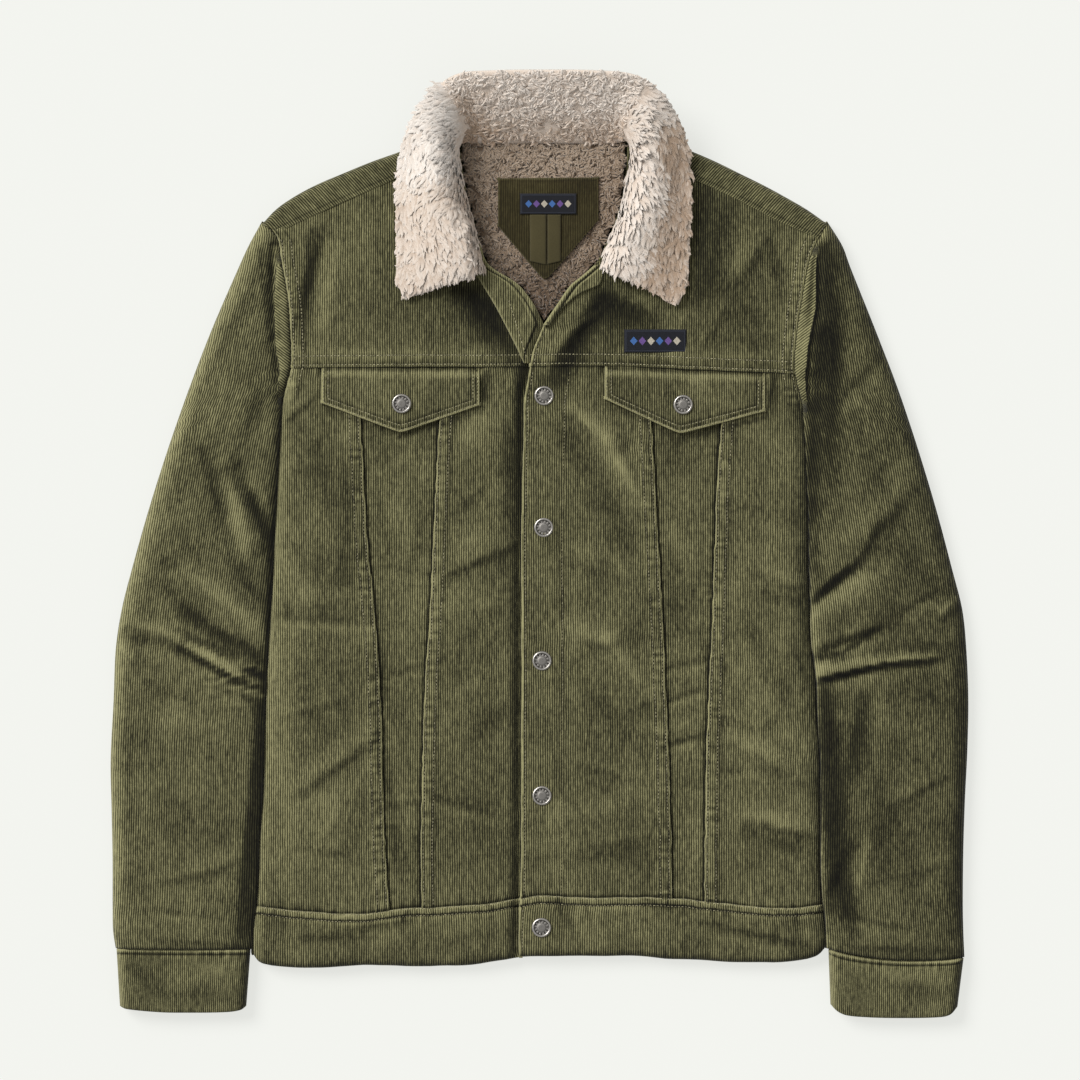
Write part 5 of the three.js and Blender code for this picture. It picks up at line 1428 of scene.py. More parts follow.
def collar_sheet(row, share):
    """The collar's middle sheet: rolled over its crest, or standing where it goes round the back.

    Rolled, it goes up a quarter turn to the crest, then falls in an eased line to the free edge.
    Standing, it is the parabola through neck edge, crest and free edge.
    """
    at = lambda name: np.stack([read(collar, "row", f"{name}_{axis}", row) for axis in "xyz"], axis=-1)
    base, crest, free = at("neck"), at("crest"), at("free")
    share = share[..., None] + 0 * base[..., :1]
    turn_share = COLLAR["turn"]
    angle = np.pi / 2 * np.clip(share / turn_share, 0, 1)
    up = mix(base, crest, 1 - np.cos(angle))
    up[..., 2:] = mix(base[..., 2:], crest[..., 2:], np.sin(angle))
    t = np.clip((share - turn_share) / (1 - turn_share), 0, 1)
    over = mix(crest, free, t)
    over[..., 2:] = mix(crest[..., 2:], free[..., 2:], t * t * (3 - 2 * t))
    rolled = np.where(share < turn_share, up, over)
    standing = base * (1 - share) * (1 - 2 * share) + crest * 4 * share * (1 - share) + free * share * (2 * share - 1)
    return mix(rolled, standing, read(collar, "row", "stand", row)[..., None])


def collar_normal(row, share):
    """Unit normals of that sheet, out of its pile side."""
    step, last = 0.02, len(collar["row"]) - 1
    along = collar_sheet(np.minimum(row + step, last), share) - collar_sheet(np.maximum(row - step, 0), share)
    out = collar_sheet(row, np.minimum(share + step, 1)) - collar_sheet(row, np.maximum(share - step, 0))
    normal = np.cross(along, out)
    return normal / np.linalg.norm(normal, axis=-1, keepdims=True)


def lock_mesh(name, place, normal, lean, style, offset, shade, material, seed, room=math.inf):
    """Many curved locks of pile as one mesh, none of them longer than the room it has.

    Each is a three-sided tapering horn. Its line leans over by an even bend, so its height is the
    difference of two sines and its reach that of two cosines, divided by the bend. It waves to
    either side by a sine of its length, and the locks of a clump draw together. Its shading normals
    are its own, drawn towards the cloth's by the style's softness.
    """
    random = np.random.default_rng(seed)
    count = len(place)
    rings = np.array([0, 0.27, 0.55, 0.8])
    taper = np.array([0.9, 1.12, 1, 0.6])
    start = style.start + random.uniform(-0.15, 0.15, count)[:, None]
    bend = style.bend * random.uniform(0.8, 1.2, count)[:, None]
    length = np.minimum(style.length * random.uniform(0.75, 1.2, count), room)[:, None]
    width = (style.width * random.uniform(0.75, 1.25, count))[:, None]
    side = np.cross(normal, lean)
    wave = style.wave * random.uniform(-1, 1, count)[:, None]
    phase = random.uniform(0, 1.5, count)[:, None]
    points, facing = [], []
    for t, size in zip([*rings, 1], [*taper, 0]):
        forward = (np.cos(start) - np.cos(start + bend * t)) / bend
        upward = (np.sin(start + bend * t) - np.sin(start)) / bend
        sway = wave * (np.sin(5 * t + phase) - np.sin(phase))
        line = place + length * (lean * forward + normal * upward + side * sway) - offset * 0.7 * t * t
        tangent = lean * np.sin(start + bend * t) + normal * np.cos(start + bend * t)
        across = np.cross(tangent, side)
        if t == 1:
            points.append(line)
            facing.append(tangent)
            continue
        for k in range(3):
            angle = math.pi * (2 * k / 3 + 0.5)
            points.append(line + width * size * (side * math.cos(angle) * 0.8 + across * math.sin(angle) * 0.32))
            facing.append(side * math.cos(angle) + across * math.sin(angle))
    points = np.stack(points, axis=1)
    facing = mix(np.stack(facing, axis=1), normal[:, None], style.soft)
    faces = [[0, 2, 1]]
    for r in range(len(rings) - 1):
        for k in range(3):
            a, b = 3 * r + k, 3 * r + (k + 1) % 3
            faces += [[a, b, b + 3], [a, b + 3, a + 3]]
    top = 3 * (len(rings) - 1)
    faces += [[top + k, top + (k + 1) % 3, top + 3] for k in range(3)]
    every = (np.array(faces)[None] + (np.arange(count) * points.shape[1])[:, None, None]).reshape(-1, 3)
    tips = np.repeat([*rings, 1], [3] * len(rings) + [1])
    # Lower along each lock the colour is darker: painted shade at the roots.
    tip = np.broadcast_to(0.25 + 0.55 * tips, points.shape[:2])
    shades = np.repeat(shade + random.uniform(-0.45, 0.45, count), points.shape[1])
    piece = mesh_object(name, points.reshape(-1, 3), every, material, tip=tip, shade=shades)
    piece.data.normals_split_custom_set_from_vertices(facing.reshape(-1, 3).astype(np.float32))
    return piece


def clumped(count, spread, seed):
    """For each of many locks the number of its clump and where it stands in it, as two offsets."""
    random = np.random.default_rng(seed)
    angle = random.uniform(0, 2 * math.pi, count)
    away = np.sqrt(random.uniform(0, 1, count)) * spread
    return away * np.cos(angle), away * np.sin(angle)


# Locks: how close their clumps stand, how wide a clump is, how many it has, and one lock's shape
Locks = namedtuple("Locks", "pitch spread each length width start bend wave soft")
WING_LOCKS = Locks(4.3, 2.8, 8, 13.5, 2.5, 1.08, 0.7, 0.16, 0.78)
BACK_LOCKS = Locks(4.2, 2.7, 8, 7.4, 1.9, 0.6, 1.6, 0.28, 0.4)
LINING_LOCKS = Locks(4, 2.6, 7, 6.4, 1.6, 0.6, 1.6, 0.3, 0.2)


def add_collar():
    """The pile side as an uneven base with locks on it; the base is given a backing 1.6 mm thick."""
    made = {}
    last = len(collar["row"]) - 1
    row = np.linspace(0, last, 150)[:, None]
    share = np.linspace(0, 1, 28)[None]
    row_grid, share_grid = np.broadcast_arrays(row, share)
    middle, normal = collar_sheet(row_grid, share_grid), collar_normal(row_grid, share_grid)
    lump = 0.5 * wander(middle[..., 0] + middle[..., 2], middle[..., 1], 4.2, 91)
    points = middle + normal * (COLLAR["root"] - 0.7 + lump)[..., None]
    points = np.concatenate([middle[:, :1] + normal[:, :1] * 0.2, points, middle[:, -1:] + normal[:, -1:] * 0.2], axis=1)
    # The base has the colour of the locks' lower parts: painted shade between the locks.
    base = mesh_object("collar_pile_cloth", points.reshape(-1, 3), grid_faces(*points.shape[:2]), PILE,
                       tip=np.full(points.shape[:2], 0.45), shade=np.zeros(points.shape[:2]))
    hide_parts("collar_pile")
    backing = base.modifiers.new("thickness", "SOLIDIFY")
    backing.thickness, backing.offset = 1.6 / METRE, -1
    made["collar_pile"] = base
    return made, [add_collar_locks(*part) for part in (("left", 0, 6.4), ("back", 6.4, 11.6), ("right", 11.6, last))]


def add_collar_locks(name, first, end):
    """Locks in clumps over one part of the collar: lying towards its points on the wings, curly at the back.

    Clumps stand on a jittered grid, even in length along the collar and across it. More locks hang
    over the free edge.
    """
    random = np.random.default_rng(len(name) + 100)
    style = BACK_LOCKS if name == "back" else WING_LOCKS
    rows = np.linspace(first, end, 400)
    step = np.linalg.norm(np.diff(collar_sheet(rows, np.full(rows.shape, 0.6)), axis=0), axis=1)
    length = np.concatenate([[0], np.cumsum(step)])
    long, deep = length[-1], 66
    many, down_many = int(long / style.pitch), int(deep / style.pitch)
    i, j = np.meshgrid(np.arange(many), np.arange(down_many))
    clump_s = ((i + random.uniform(0.05, 0.95, i.shape)) / many * long).ravel()
    clump_t = ((j + random.uniform(0.05, 0.95, i.shape)) / down_many * deep).ravel()
    clumps, fringe = len(clump_s), int(long / 1.5)
    off_a, off_b = clumped(clumps * style.each, style.spread, len(name))
    s = np.repeat(clump_s, style.each) + off_a
    t = np.clip(np.repeat(clump_t, style.each) + off_b, 0.6, deep)
    jitter = np.repeat(random.uniform(-1, 1, clumps), style.each)
    each = random.uniform(-0.25, 0.25, len(s))
    if name == "back":
        angle = jitter * math.pi + each
    else:
        angle = 1.2 + 0.6 * wander(s, t, 17, 31) + 0.35 * jitter + each
    s = np.concatenate([s, random.uniform(0, long, fringe)])
    t = np.concatenate([t, random.uniform(deep - 6, deep - 1.5, fringe)])
    angle = np.concatenate([angle, random.uniform(-0.8, 0.8, fringe)])
    ends = 0 if name == "back" else 90
    s = np.concatenate([s, random.uniform(2, 6, ends) if name == "left" else long - random.uniform(2, 6, ends)])
    t = np.concatenate([t, random.uniform(12, deep - 2, ends)])
    angle = np.concatenate([angle, random.uniform(1.1, 1.8, ends)])
    off_a, off_b = (np.concatenate([off, np.zeros(fringe + ends)]) for off in (off_a, off_b))
    to_end = {"left": s, "back": math.inf, "right": long - s}[name]
    room_s = (to_end + 1.5) / np.maximum(np.sin(angle), 0.15)
    room_t = (deep + 0.5 - t) / np.maximum(np.cos(angle), 0.15)
    room = np.maximum(np.minimum(room_s, room_t) * random.uniform(0.85, 1.3, len(s)), 3)
    row = np.interp(s, length, rows)
    share = np.interp(t / deep, [0, 0.26, 1], [0, COLLAR["turn"], 1])
    middle, normal = collar_sheet(row, share), collar_normal(row, share)
    step = 0.03
    ahead, behind = np.minimum(share + step, 1), np.minimum(share + step, 1) - 2 * step
    down = collar_sheet(row, ahead) - collar_sheet(row, behind)
    down /= np.linalg.norm(down, axis=1, keepdims=True)
    toward = np.cross(normal, down) * (-1 if name == "right" else 1)
    lean = down * np.cos(angle)[:, None] + toward * np.sin(angle)[:, None]
    offset = down * off_b[:, None] + np.cross(down, normal) * off_a[:, None]
    place = middle + normal * (COLLAR["root"] - 0.5)
    # Painted light and shade over each part: darker by the neck seam, at the back's left end and over the right wing's
    # outer part, paler where the left wing nears the back.
    if name == "back":
        shade = 0.3 - 1.3 * (1 - ease(3, 24, t)) - 1.5 * (1 - ease(0, 45, s)) * (1 - ease(30, 60, t))
    elif name == "left":
        shade = -0.45 - 0.5 * (1 - ease(4, 16, t)) + 1.4 * ease(72, 105, s)
    else:
        outer = ease(27, 40, t) - 0.35 * ease(57, 66, t)
        shade = 0.1 - 1.9 * outer * ease(12, 34, s) - 0.2 * (1 - ease(3, 12, t))
    return lock_mesh(f"collar_locks_{name}", place, normal, lean, style, offset, shade, PILE, len(name) + 7, room)


def add_under_collar():
    """The corduroy under the collar, a little longer than the pile where it turns."""
    last = len(collar["row"]) - 1
    row = np.linspace(0, last, 130)[:, None]
    share = np.linspace(0, 1, 22)[None]
    row_grid, share_grid = np.broadcast_arrays(row, share)
    points = collar_sheet(row_grid, share_grid) - collar_normal(row_grid, share_grid) * COLLAR["corduroy"]
    along = np.cumsum(np.linalg.norm(np.diff(points[:, 11], axis=0, prepend=points[:1, 11]), axis=1))[:, None]
    uv = np.stack([along + 0 * share, share * 62 + 0 * along], axis=-1)
    tone = np.broadcast_to(0.8 * bell(62 * (1 - share), 1.6), points.shape[:2])
    return {"under_collar": cloth("under_collar", points, tone, CORDUROY, flip=True, uv=uv)}


def pointed_panel(shape, rows, near):
    """A panel of a pointed piece: upright sides, and a low edge that runs down to a rounded tip."""
    def low(x):
        to_side_x = np.where(x < shape.tip_x, shape.tip_x - shape.left, shape.right - shape.tip_x)
        side = np.where(x < shape.tip_x, shape.side_left, shape.side_right)
        away = np.hypot(x - shape.tip_x, FLAP["tip_round"]) - FLAP["tip_round"]
        return shape.tip_y + (side - shape.tip_y) * away / to_side_x

    def high(x):
        return mix(shape.top_left, shape.top_right, (x - shape.left) / (shape.right - shape.left))

    level = lambda value: (lambda y: value + 0 * y)
    wide = cells((shape.right - shape.left) - 2 * near[-1])
    return Panel(level(shape.left), level(shape.right), low, high, lines(near, wide, back(near)),
                 lines(near, rows, (0,)), None, [])


def pointed_edge(shape, panel, x, y):
    """Distance from the piece's sides and low edge, whichever is nearest."""
    sides = np.minimum(x - shape.left, shape.right - x)
    return np.minimum(sides, (y - panel.low(x)) * 0.93)


FLAP_LINES = (0, 0.35, 0.8, 1.6, 2.4, 3.6, 5.4, 7)


def flap_panel(shape):
    """A flap, run on a little under the yoke."""
    return pointed_panel(shape._replace(top_left=shape.top_left + 2.5, top_right=shape.top_right + 2.5), 16, FLAP_LINES)


def flap_height(shape, panel, x, y):
    """The flap lies on the front: it leaves the chest seam low, and its sewn edges are pressed."""
    d = pointed_edge(shape, panel, x, y)
    gathers = pucker(x + y, 4.2, 95) * bell(d - 1.5, 3)
    lift = mix(-0.9, FLAP["gap"] + FLAP["thickness"], ease(2.2, 9, panel.high(x) - y))
    press = sum(0.35 * bell(d - row, 0.8) for row in FLAP_ROWS)
    z = front_top(x, y) + lift + 0.35 * wander(x, y, 18, 44) - 1.2 * (1 - rounding(d, 1.2)) - press + 0.2 * gathers
    tone = 2 * bell(d - 0.3, 1.4) + 0.5 * gathers - sum(0.45 * bell(d - row - 1.4, 0.9) for row in FLAP_ROWS)
    # Painted shade where the flap goes under the yoke's edge; painted light by its slope follows.
    tone = tone - 0.6 * bell(panel.high(x) - y - 2.6, 1) + 0.2 * wander(x, y, 25, 45)
    return z, tone + nap_and_painted_light(stack(x, y, z)) if x.ndim > 1 else tone


def add_flaps():
    made = {}
    for node, shape in (("flap_left", flap_left), ("flap_right", flap_right)):
        panel = flap_panel(shape)
        x, y = lay(panel)
        z, tone = flap_height(shape, panel, x, y)
        points = stack(x, y, z)
        for side in ("left", "right", "low"):
            points = turn(points, side, [(0.1, 0.5), (0.5, 1), (2.5, 1.1)])
            tone = pad_tone(tone, points, **{side: 3})
        made[node] = cloth(node, points, tone, CORDUROY)
    return made


def add_facings():
    """Facings turned out on the yokes beside the neck, each with a pale edge and a row of stitches."""
    left_edge = lambda y: read(facing_edges["left"], "y", "edge", y)
    right_edge = lambda y: read(facing_edges["right"], "y", "edge", y)
    beside = lambda y: np.minimum(neck_left(y), np.where(y < ROLL_EDGE, placket_edge(y) - 0.3, neck_left(y)))
    made = {}
    for node, left, right, span, ground, free in (
            ("facing_left", left_edge, beside, FACING["left"], left_top, "left"),
            ("facing_right", neck_right, right_edge, FACING["right"], front_top, "right")):
        low, high = span
        panel = Panel(left, right, lambda x, low=low: low + 0 * x, lambda x, high=high: high + 0 * x,
                      lines((0, 0.6, 1.4, 2.6), 20, (2.6, 1.4, 0.6, 0)), lines((0, 0.8), 44, (0.8, 0)), ground, [])
        x, y = lay(panel)
        from_neck = (right(y) - x) if free == "left" else (x - left(y))
        from_free = (x - left(y)) if free == "left" else (right(y) - x)
        z = ground(x, y) + FACING["gap"] + FACING["thickness"] + 0.2 * wander(x, y, 12, 64)
        z = z + 0.9 * bell(from_neck - 2.4, 2.2) - 0.5 * bell(from_neck - 5.6, 0.9)
        z = z - 1.2 * (1 - rounding(from_free, 1.5)) - 1.2 * (1 - rounding(from_neck, 1.4))
        tone = 1.6 * bell(from_neck, 1.2) + 0.5 * bell(from_neck - 3, 2) - 1.2 * bell(from_neck - 5.6, 0.8)
        tone = tone + 0.9 * bell(from_neck - 7.4, 1.1) + 1.2 * bell(from_free, 1.3) + 0.1
        points = stack(x, y, z)
        # Painted light by the facing's slope towards the sun.
        tone = tone + nap_and_painted_light(points)
        for side in ("left", "right"):
            points = turn(points, side, [(0.1, 0.8), (0.3, 1.8), (0.6, 2.6)])
            tone = pad_tone(tone, points, **{side: 3})
        made[node] = cloth(node, points, tone, CORDUROY)
    return made


def add_lining():
    """The back's pile lining inside the neck: an uneven base with locks in clumps."""
    left = lambda y: read(neck, "y", "left", y) + LINING["gap"]
    right = lambda y: read(neck, "y", "right", y) - LINING["gap"]
    panel = Panel(left, right, lambda x: ROLL_EDGE + 3 + 0 * x, lambda x: 330 + 0 * x,
                  lines((0,), 46, (0,)), lines((0,), 58, (0,)), None, [])
    x, y = lay(panel)
    points = stack(x, y, LINING["root"] + 0.3 + 0.5 * wander(x, y, 4.4, 55))
    for side in ("left", "right", "low"):
        points = turn(points, side, [(-0.3, 1.4)])
    # The base has the colour of the locks' lower parts: painted shade between the locks.
    base = mesh_object("back_lining_cloth", points.reshape(-1, 3), grid_faces(*points.shape[:2]), SHADED_LINING_PILE,
                       tip=np.full(points.shape[:2], 0.25), shade=np.zeros(points.shape[:2]))
    backing = base.modifiers.new("thickness", "SOLIDIFY")
    backing.thickness, backing.offset = 1.2 / METRE, -1
    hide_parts("back_lining")
    random = np.random.default_rng(56)
    style = LINING_LOCKS
    i, j = np.meshgrid(np.arange(35), np.arange(37))
    centre_x = (-66 + (i + random.uniform(0.05, 0.95, i.shape)) * style.pitch).ravel()
    centre_y = (184 + (j + random.uniform(0.05, 0.95, i.shape)) * style.pitch).ravel()
    patch_tip = np.where(centre_x < locker_patch.tip_x, 38.5, 44)
    on_patch = (centre_x > locker_patch.left + 3) & (centre_x < locker_patch.right - 3) & (centre_y < 296)
    on_patch &= centre_y > 219 + 46 * np.abs(centre_x - locker_patch.tip_x) / patch_tip
    inside = (centre_x > left(centre_y) + 0.5) & (centre_x < right(centre_y) - 0.5) & ~on_patch & (centre_y < 329)
    centre_x, centre_y = centre_x[inside], centre_y[inside]
    clumps = len(centre_x)
    count = clumps * style.each
    off_a, off_b = clumped(count, style.spread, 57)
    y = np.repeat(centre_y, style.each) + off_b
    place = stack(np.repeat(centre_x, style.each) + off_a, y, LINING["root"] - 0.3)
    angle = np.repeat(random.uniform(0, 2 * math.pi, clumps), style.each) + random.uniform(-0.6, 0.6, count)
    lean = stack(np.cos(angle), np.sin(angle), 0)
    up = np.broadcast_to([0.0, 0.0, 1.0], lean.shape)
    # Painted shade low in the neck's V, and painted light near its top.
    deep = 0.6 * ease(260, 310, y) - 1.7 * (1 - ease(188, 250, y))
    locks = lock_mesh("lining_locks", place, up, lean, style, stack(off_a, off_b, 0), deep, SHADED_LINING_PILE, 58)
    return {"back_lining": base}, locks


PATCH_TOP = LINING["top"] + PATCH["gap"] + PATCH["thickness"]


def add_patch():
    """The patch on the lining, with a pressed edge."""
    panel = pointed_panel(locker_patch, 30, (0, 0.4, 1, 2, 3.4))
    x, y = lay(panel)
    d = np.minimum(pointed_edge(locker_patch, panel, x, y), panel.high(x) - y)
    z = PATCH_TOP + 0.3 * wander(x, y, 20, 77) - 1.3 * (1 - rounding(d, 1.3)) - 0.25 * bell(d - 2.2, 0.8)
    tone = 0.9 * bell(d, 1.3) - 0.4 * bell(d - 2.2, 0.8) + 0.2 * wander(x, y, 30, 78)
    points = stack(x, y, z)
    for side in ("left", "right", "low", "high"):
        points = turn(points, side, [(0.2, 0.8), (1.4, 1)])
        tone = pad_tone(tone, points, **{side: 2})
    patch = cloth("locker_patch", points, tone, SHADED_CORDUROY_PATCH)
    return {"locker_patch": patch}


def add_loop():
    """The hanger loop: one tape down, folded over at the low end and up again beside itself."""
    wide = loop["slot_x"] - loop["left"]
    rows = 40
    pieces_x = [(loop["left"], loop["slot_x"]), (loop["slot_x"] + loop["slot"], loop["right"])]
    across = np.linspace(0, 1, 9)[None]
    grids = []
    for left_x, right_x in pieces_x:
        y = np.linspace(loop["low"], loop["top"], rows)[:, None]
        x = mix(left_x, right_x, across) + 0 * y
        lift = 0.5 + 0.9 * bell(y - 250, 16)
        z = PATCH_TOP + 0.35 + lift - 0.5 * np.abs(2 * across - 1) ** 4 + 0 * y
        slope = np.where(np.isclose(left_x, loop["left"]), x - left_x, right_x - x) / wide
        grids.append(stack(x, y + 3 * (1 - slope) * bell(y - loop["low"], 6), z))
    points = np.concatenate([g.reshape(-1, 3) for g in grids])
    faces = grid_faces(rows, 9)
    piece = mesh_object("hanger_loop_tape", points, np.concatenate([faces, faces + rows * 9]), TAPE)
    thickness = piece.modifiers.new("thickness", "SOLIDIFY")
    thickness.thickness, thickness.offset = 0.5 / METRE, -1
    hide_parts("hanger_loop")
    return {"hanger_loop": piece}


def add_labels():
    """Woven labels with turned edges; the map runs from 0 to 1 both ways over each."""
    made = {}
    patch_ground = lambda x, y: PATCH_TOP + 0.3 + 0 * x
    for node, box, ground in (("label_neck", neck_label, patch_ground), ("label_chest", chest_label, front_top)):
        across, up = np.linspace(0, 1, 34)[None], np.linspace(0, 1, 16)[:, None]
        x = mix(box["left"], box["right"], across) + 0 * up
        y = mix(box["low"], box["high"], up) + 0 * across
        edge = np.minimum(np.minimum(x - box["left"], box["right"] - x), np.minimum(y - box["low"], box["high"] - y))
        z = ground(x, y) + LABEL["gap"] + LABEL["thickness"] - 0.5 * (1 - rounding(edge, 1)) + 0.12 * wander(x, y, 9, 79)
        uv = np.stack([across + 0 * up, up + 0 * across], axis=-1)
        points = stack(x, y, z)
        for side in ("left", "right", "low", "high"):
            points = turn(points, side, [(0.15, 0.7)])
        uv = np.pad(uv, ((1, 1), (1, 1), (0, 0)), mode="edge")
        made[node] = cloth(node, points, 0, LABEL_WEAVE, uv=uv, wall=0.5)
    return made


def add_snaps():
    """Snaps: a turned cap with a raised rim, a hollow ring with short radial ribs and a plain domed middle."""
    profile = np.array([(8.0, 0.0, 0.3), (8.05, 0.7, 0.5), (7.9, 1.4, 0.8), (7.5, 1.95, 1), (7, 2.25, 1), (6.5, 2.2, 0.9),
                        (6.15, 1.85, 0.2), (5.9, 1.55, 0.1), (5.4, 1.55, 0.55), (4.6, 1.55, 0.55), (3.9, 1.52, 0.5),
                        (3.6, 1.62, 0.15), (3.2, 1.8, 0.6), (2.2, 1.86, 0.5), (1.1, 1.86, 0.45)])
    around = np.linspace(0, 2 * math.pi, 96, endpoint=False)[None]
    radius, height, tone = (profile[:, k:k + 1] for k in range(3))
    ribs = (np.arange(96) % 8 < 3)[None] * ((radius < 5.6) & (radius > 4.2))
    z = height - 0.25 * ribs
    shade = tone - 0.55 * ribs
    made = []
    for name, (snap_x, snap_y) in snaps.items():
        lift = FLAP["gap"] + FLAP["thickness"] if "flap" in name else 0
        ground = float(front_top(np.array(snap_x), np.array(snap_y))) + lift + SNAP["gap"] - 0.1
        ring = stack(snap_x + radius * np.cos(around), snap_y + radius * np.sin(around), ground + z).reshape(-1, 3)
        points = np.concatenate([ring, [[snap_x, snap_y, ground + 1.86], [snap_x, snap_y, ground]]])
        rows, columns = len(profile), 96
        quads = grid_faces(rows, columns, ring=True)
        faces = np.concatenate([quads[:, [0, 1, 2]], quads[:, [0, 2, 3]]])
        index = np.arange(columns)
        top = (rows - 1) * columns
        cap = np.stack([top + index, top + (index + 1) % columns, np.full(columns, rows * columns)], axis=-1)
        floor = np.stack([(index + 1) % columns, index, np.full(columns, rows * columns + 1)], axis=-1)
        values = np.concatenate([(shade + 0 * around).ravel(), [0.45, 0.2]])
        piece = mesh_object(f"{name}_cap", points, np.concatenate([faces, cap, floor]), METAL, tone=values)
        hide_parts(name)
        made.append(piece)
    return made


def run_of_stitches(x, y):
    """Ends of the stitches along a line: the line is cut to the stitch's pitch by its own length."""
    step = np.hypot(np.diff(x), np.diff(y))
    length = np.concatenate([[0], np.cumsum(step)])
    at = np.arange(0, length[-1] - STITCH["pitch"], STITCH["pitch"])
    ends = at + STITCH["pitch"] * STITCH["share"]
    return [np.stack([np.interp(s, length, x), np.interp(s, length, y)], axis=-1) for s in (at, ends)]


def stitch_mesh(name, runs, seed, worn):
    """Stitches as one mesh: each a short four-sided spindle between its two ends, lying on the cloth."""
    starts, ends = (np.concatenate([run[k] for run in runs]) for k in (0, 1))
    middle, half = (starts + ends) / 2, (ends - starts) / 2
    long = np.linalg.norm(half, axis=1, keepdims=True)
    forward = half / long
    side = np.cross(forward, [0, 0, 1])
    side /= np.linalg.norm(side, axis=1, keepdims=True)
    up = np.cross(side, forward)
    rings = [(-1, 0), (-0.6, 0.9), (0.6, 0.9), (1, 0)]
    points = []
    for t, size in rings:
        if size == 0:
            points.append(middle + half * t)
            continue
        for k in range(4):
            angle = math.pi * k / 2
            points.append(middle + half * t + size * (side * math.cos(angle) * STITCH["width"] / 2
                                                      + up * math.sin(angle) * STITCH["height"]))
    points = np.stack(points, axis=1)
    faces = []
    for k in range(4):
        a, b = 1 + k, 1 + (k + 1) % 4
        faces += [[0, b, a], [a, b, b + 4], [a, b + 4, a + 4], [a + 4, b + 4, 9]]
    count = len(middle)
    all_faces = (np.array(faces)[None] + (np.arange(count) * 10)[:, None, None]).reshape(-1, 3)
    shade = np.repeat(np.random.default_rng(seed).uniform(*worn, count), 10)
    piece = mesh_object(name, points.reshape(-1, 3), all_faces, THREAD, shade=shade)
    return piece


def on_surface(run, height):
    """Stitch ends lifted onto the cloth."""
    return [np.column_stack([ends, height(ends[:, 0], ends[:, 1]) + 0.12]) for ends in run]


def panel_height(panel):
    return lambda x, y: panel.ground(x, y) + relief(panel.seams, x, y)[0] + creased(x, y)


def add_stitches():
    """All the rows of stitches that show."""
    fronts, levels, flaps, rest = [], [], [], []
    y = np.linspace(-296, 140, 500)
    for node, name, side in (("side_front_left", "outer_left", -1), ("centre_front_left", "inner_left", 1),
                             ("centre_front_right", "inner_right", -1), ("side_front_right", "outer_right", 1)):
        for row in LAP["rows"]:
            run = run_of_stitches(slant(name)(y) + side * row, y)
            fronts.append(on_surface(run, panel_height(FRONT_PANELS[node][0])))
    for row in PLACKET_ROWS:
        y = np.linspace(-288, 142, 500)
        run = run_of_stitches(placket_edge(y) + row, y)
        fronts.append(on_surface(run, panel_height(FRONT_PANELS["centre_front_right"][0])))
    y = np.linspace(146, 176, 60)
    fronts.append(on_surface(run_of_stitches(placket_edge(y) + PLACKET_ROWS[0], y),
                             panel_height(YOKE_PANELS["front_yoke_right"][0])))
    y = np.linspace(-334, -298, 40)
    fronts.append(on_surface(run_of_stitches(placket_edge(y) + PLACKET_ROWS[0], y),
                             panel_height(BAND_PANELS["waistband_right"][0])))
    for node, first, last in (("front_yoke_left", -200, -12), ("front_yoke_right", -8, 206)):
        x = np.linspace(first, last, 400)
        for row in YOKE_ROWS:
            levels.append(on_surface(run_of_stitches(x, chest(x) + row), panel_height(YOKE_PANELS[node][0])))
    for node, first, last in (("waistband_left", -228, -20), ("waistband_right", -14, 228)):
        x = np.linspace(first, last, 400)
        for row in BAND_ROWS:
            levels.append(on_surface(run_of_stitches(x, waist(x) - row), panel_height(BAND_PANELS[node][0])))
    for shape in (flap_left, flap_right):
        panel = flap_panel(shape)
        height = lambda x, y, shape=shape, panel=panel: flap_height(shape, panel, x, y)[0]
        for row in FLAP_ROWS:
            x = np.linspace(shape.left + row, shape.right - row, 200)
            low = panel.low(x) + row / 0.93
            x = np.concatenate([[x[0]], x, [x[-1]]])
            low = np.concatenate([[shape.top_left - 1], low, [shape.top_right - 1]])
            flaps.append(on_surface(run_of_stitches(x, low), height))
    y = np.linspace(122, 250, 200)
    for edge, sign, node in ((body_left, 1, "front_yoke_left"), (body_right, -1, "front_yoke_right")):
        for row in LAP["rows"]:
            run = run_of_stitches(edge(y) + sign * row, y)
            rest.append(on_surface(run, panel_height(YOKE_PANELS[node][0])))
    y = np.linspace(152, 200, 60)
    x = np.interp(y, [152, 174, 200], [-10.6, -17.6, -25.4])
    lift = FACING["gap"] + FACING["thickness"] + 0.2
    rest.append(on_surface(run_of_stitches(x, y), lambda x, y: left_top(x, y) + lift))
    return [stitch_mesh("stitches_fronts", fronts, 1, (0, 0.75)), stitch_mesh("stitches_level", levels, 2, (0.2, 1)),
            stitch_mesh("stitches_flaps", flaps, 3, (0.2, 0.9)), stitch_mesh("stitches_armholes", rest, 4, (0.3, 1))]


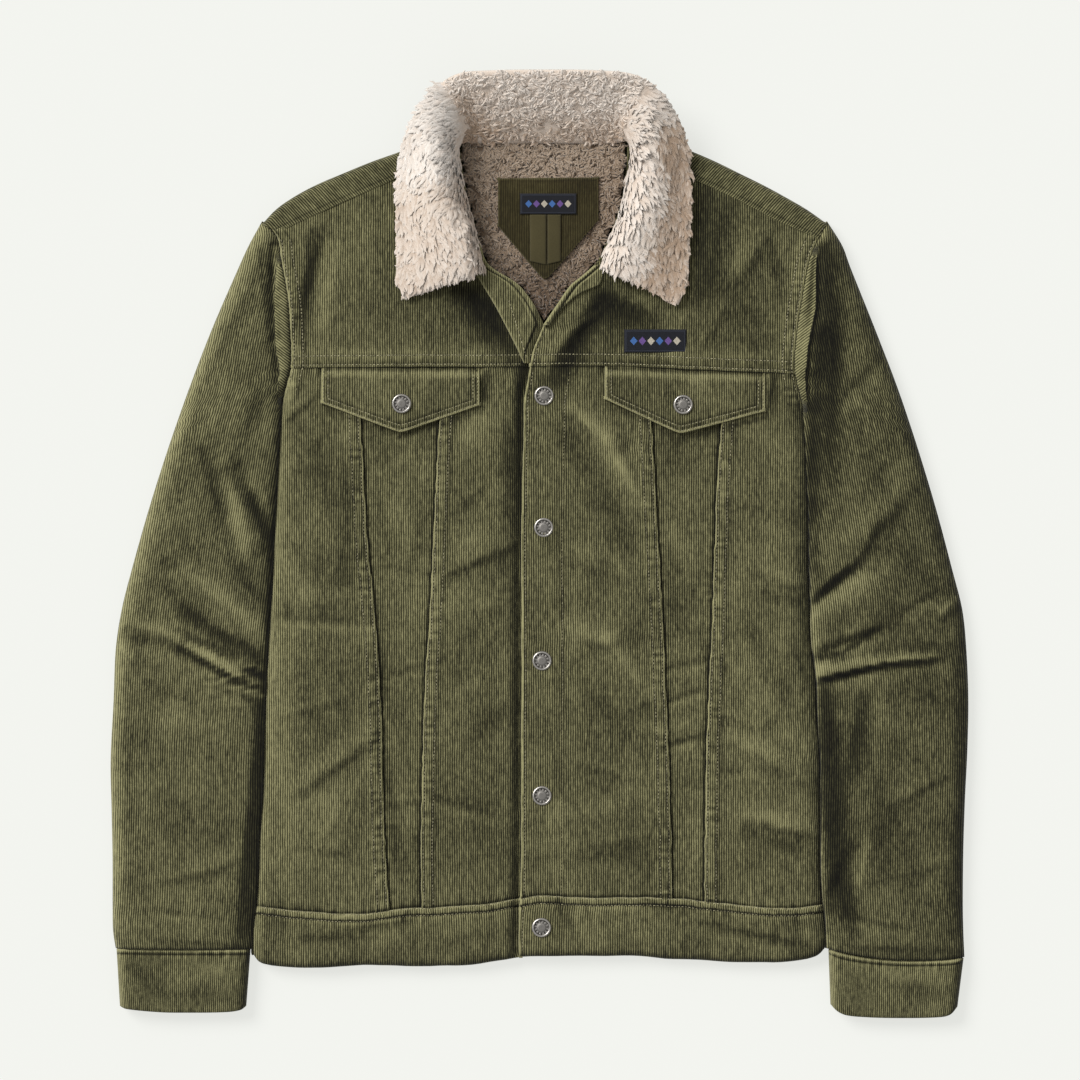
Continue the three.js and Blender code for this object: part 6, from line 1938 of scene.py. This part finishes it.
# Cuts in metres: width, length and the flat area of the piece of cloth that shows
cuts = {
    "front_yoke_left": (0.225, 0.185, 0.0335), "front_yoke_right": (0.215, 0.185, 0.0335),
    "side_front_left": (0.1, 0.45, 0.04), "side_front_right": (0.1, 0.45, 0.04),
    "pocket_panel_left": (0.085, 0.45, 0.0245), "pocket_panel_right": (0.07, 0.45, 0.023),
    "centre_front_left": (0.13, 0.45, 0.047), "centre_front_right": (0.135, 0.45, 0.053),
    "waistband_left": (0.26, 0.065, 0.0135), "waistband_right": (0.27, 0.065, 0.0145),
    "back_panel": (0.48, 0.445, 0.2), "waistband_back": (0.49, 0.065, 0.0285), "back_yoke": (0.48, 0.24, 0.096),
    "top_sleeve_left": (0.14, 0.6, 0.075), "top_sleeve_right": (0.14, 0.61, 0.075),
    "under_sleeve_left": (0.135, 0.6, 0.068), "under_sleeve_right": (0.135, 0.61, 0.068),
    "cuff_left": (0.24, 0.062, 0.0145), "cuff_right": (0.24, 0.062, 0.0145),
    "flap_left": (0.14, 0.06, 0.0068), "flap_right": (0.14, 0.06, 0.0068),
    "collar_pile": (0.56, 0.075, 0.036), "under_collar": (0.56, 0.07, 0.034),
    "facing_left": (0.05, 0.105, 0.0028), "facing_right": (0.045, 0.06, 0.0012),
    "back_lining": (0.15, 0.15, 0.0135), "locker_patch": (0.085, 0.085, 0.0058),
    "hanger_loop": (0.026, 0.042, 0.00105), "label_neck": (0.048, 0.019, 0.00086),
    "label_chest": (0.052, 0.021, 0.00104),
}


def declare_sheets(made, with_pieces):
    """Looks up each piece's cut and the pieces that go with it; nothing further is done with them."""
    for node, piece in made.items():
        width, length, area = cuts[node]
        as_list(with_pieces.get(node, []))


def add_stage():
    """A pale floor, an even sky and one soft sun from the upper left, with the camera straight above."""
    size = 8
    mesh = bpy.data.meshes.new("floor")
    mesh.from_pydata([(-size, -size, -0.0006), (size, -size, -0.0006), (size, size, -0.0006), (-size, size, -0.0006)],
                     [], [(0, 1, 2, 3)])
    mesh.materials.append(floor_finish("floor"))
    floor = bpy.data.objects.new("floor", mesh)
    bpy.context.scene.collection.objects.link(floor)
    world = bpy.data.worlds.new("sky")
    world.use_nodes = True
    world.node_tree.nodes["Background"].inputs["Color"].default_value = (1, 1, 0.985, 1)
    world.node_tree.nodes["Background"].inputs["Strength"].default_value = 0.42
    bpy.context.scene.world = world
    sun = bpy.data.lights.new("sun", "SUN")
    sun.energy, sun.angle = 2.98, math.radians(30)
    sun.color = (1, 0.99, 0.97)
    lamp = bpy.data.objects.new("sun", sun)
    lamp.rotation_euler = Vector((-0.6, 0.5, 0.66)).to_track_quat("Z", "Y").to_euler()
    bpy.context.scene.collection.objects.link(lamp)
    camera_data = bpy.data.cameras.new("camera")
    distance, seen = 6.0, 0.8856
    camera_data.sensor_width = 36
    camera_data.lens = 36 * distance / seen
    camera_data.clip_end = 50
    camera = bpy.data.objects.new("camera", camera_data)
    camera.location = (0.00041 + OFFSET[0] / METRE, 0.00246 + OFFSET[1] / METRE, distance)
    bpy.context.scene.collection.objects.link(camera)
    bpy.context.scene.camera = camera
    bpy.context.scene.view_settings.view_transform = "Standard"


made = {}
made.update(add_fronts())
made.update(add_yokes())
made.update(add_bands())
made.update(add_back())
made.update(add_back_yoke())
made.update(add_sleeves())
made.update(add_cuffs())
collar_made, collar_locks = add_collar()
made.update(collar_made)
made.update(add_under_collar())
made.update(add_flaps())
made.update(add_facings())
lining_made, lining_locks = add_lining()
made.update(lining_made)
made.update(add_patch())
made.update(add_loop())
made.update(add_labels())
add_snaps()
add_stitches()
declare_sheets(made, {"collar_pile": collar_locks, "back_lining": [lining_locks]})
add_stage()
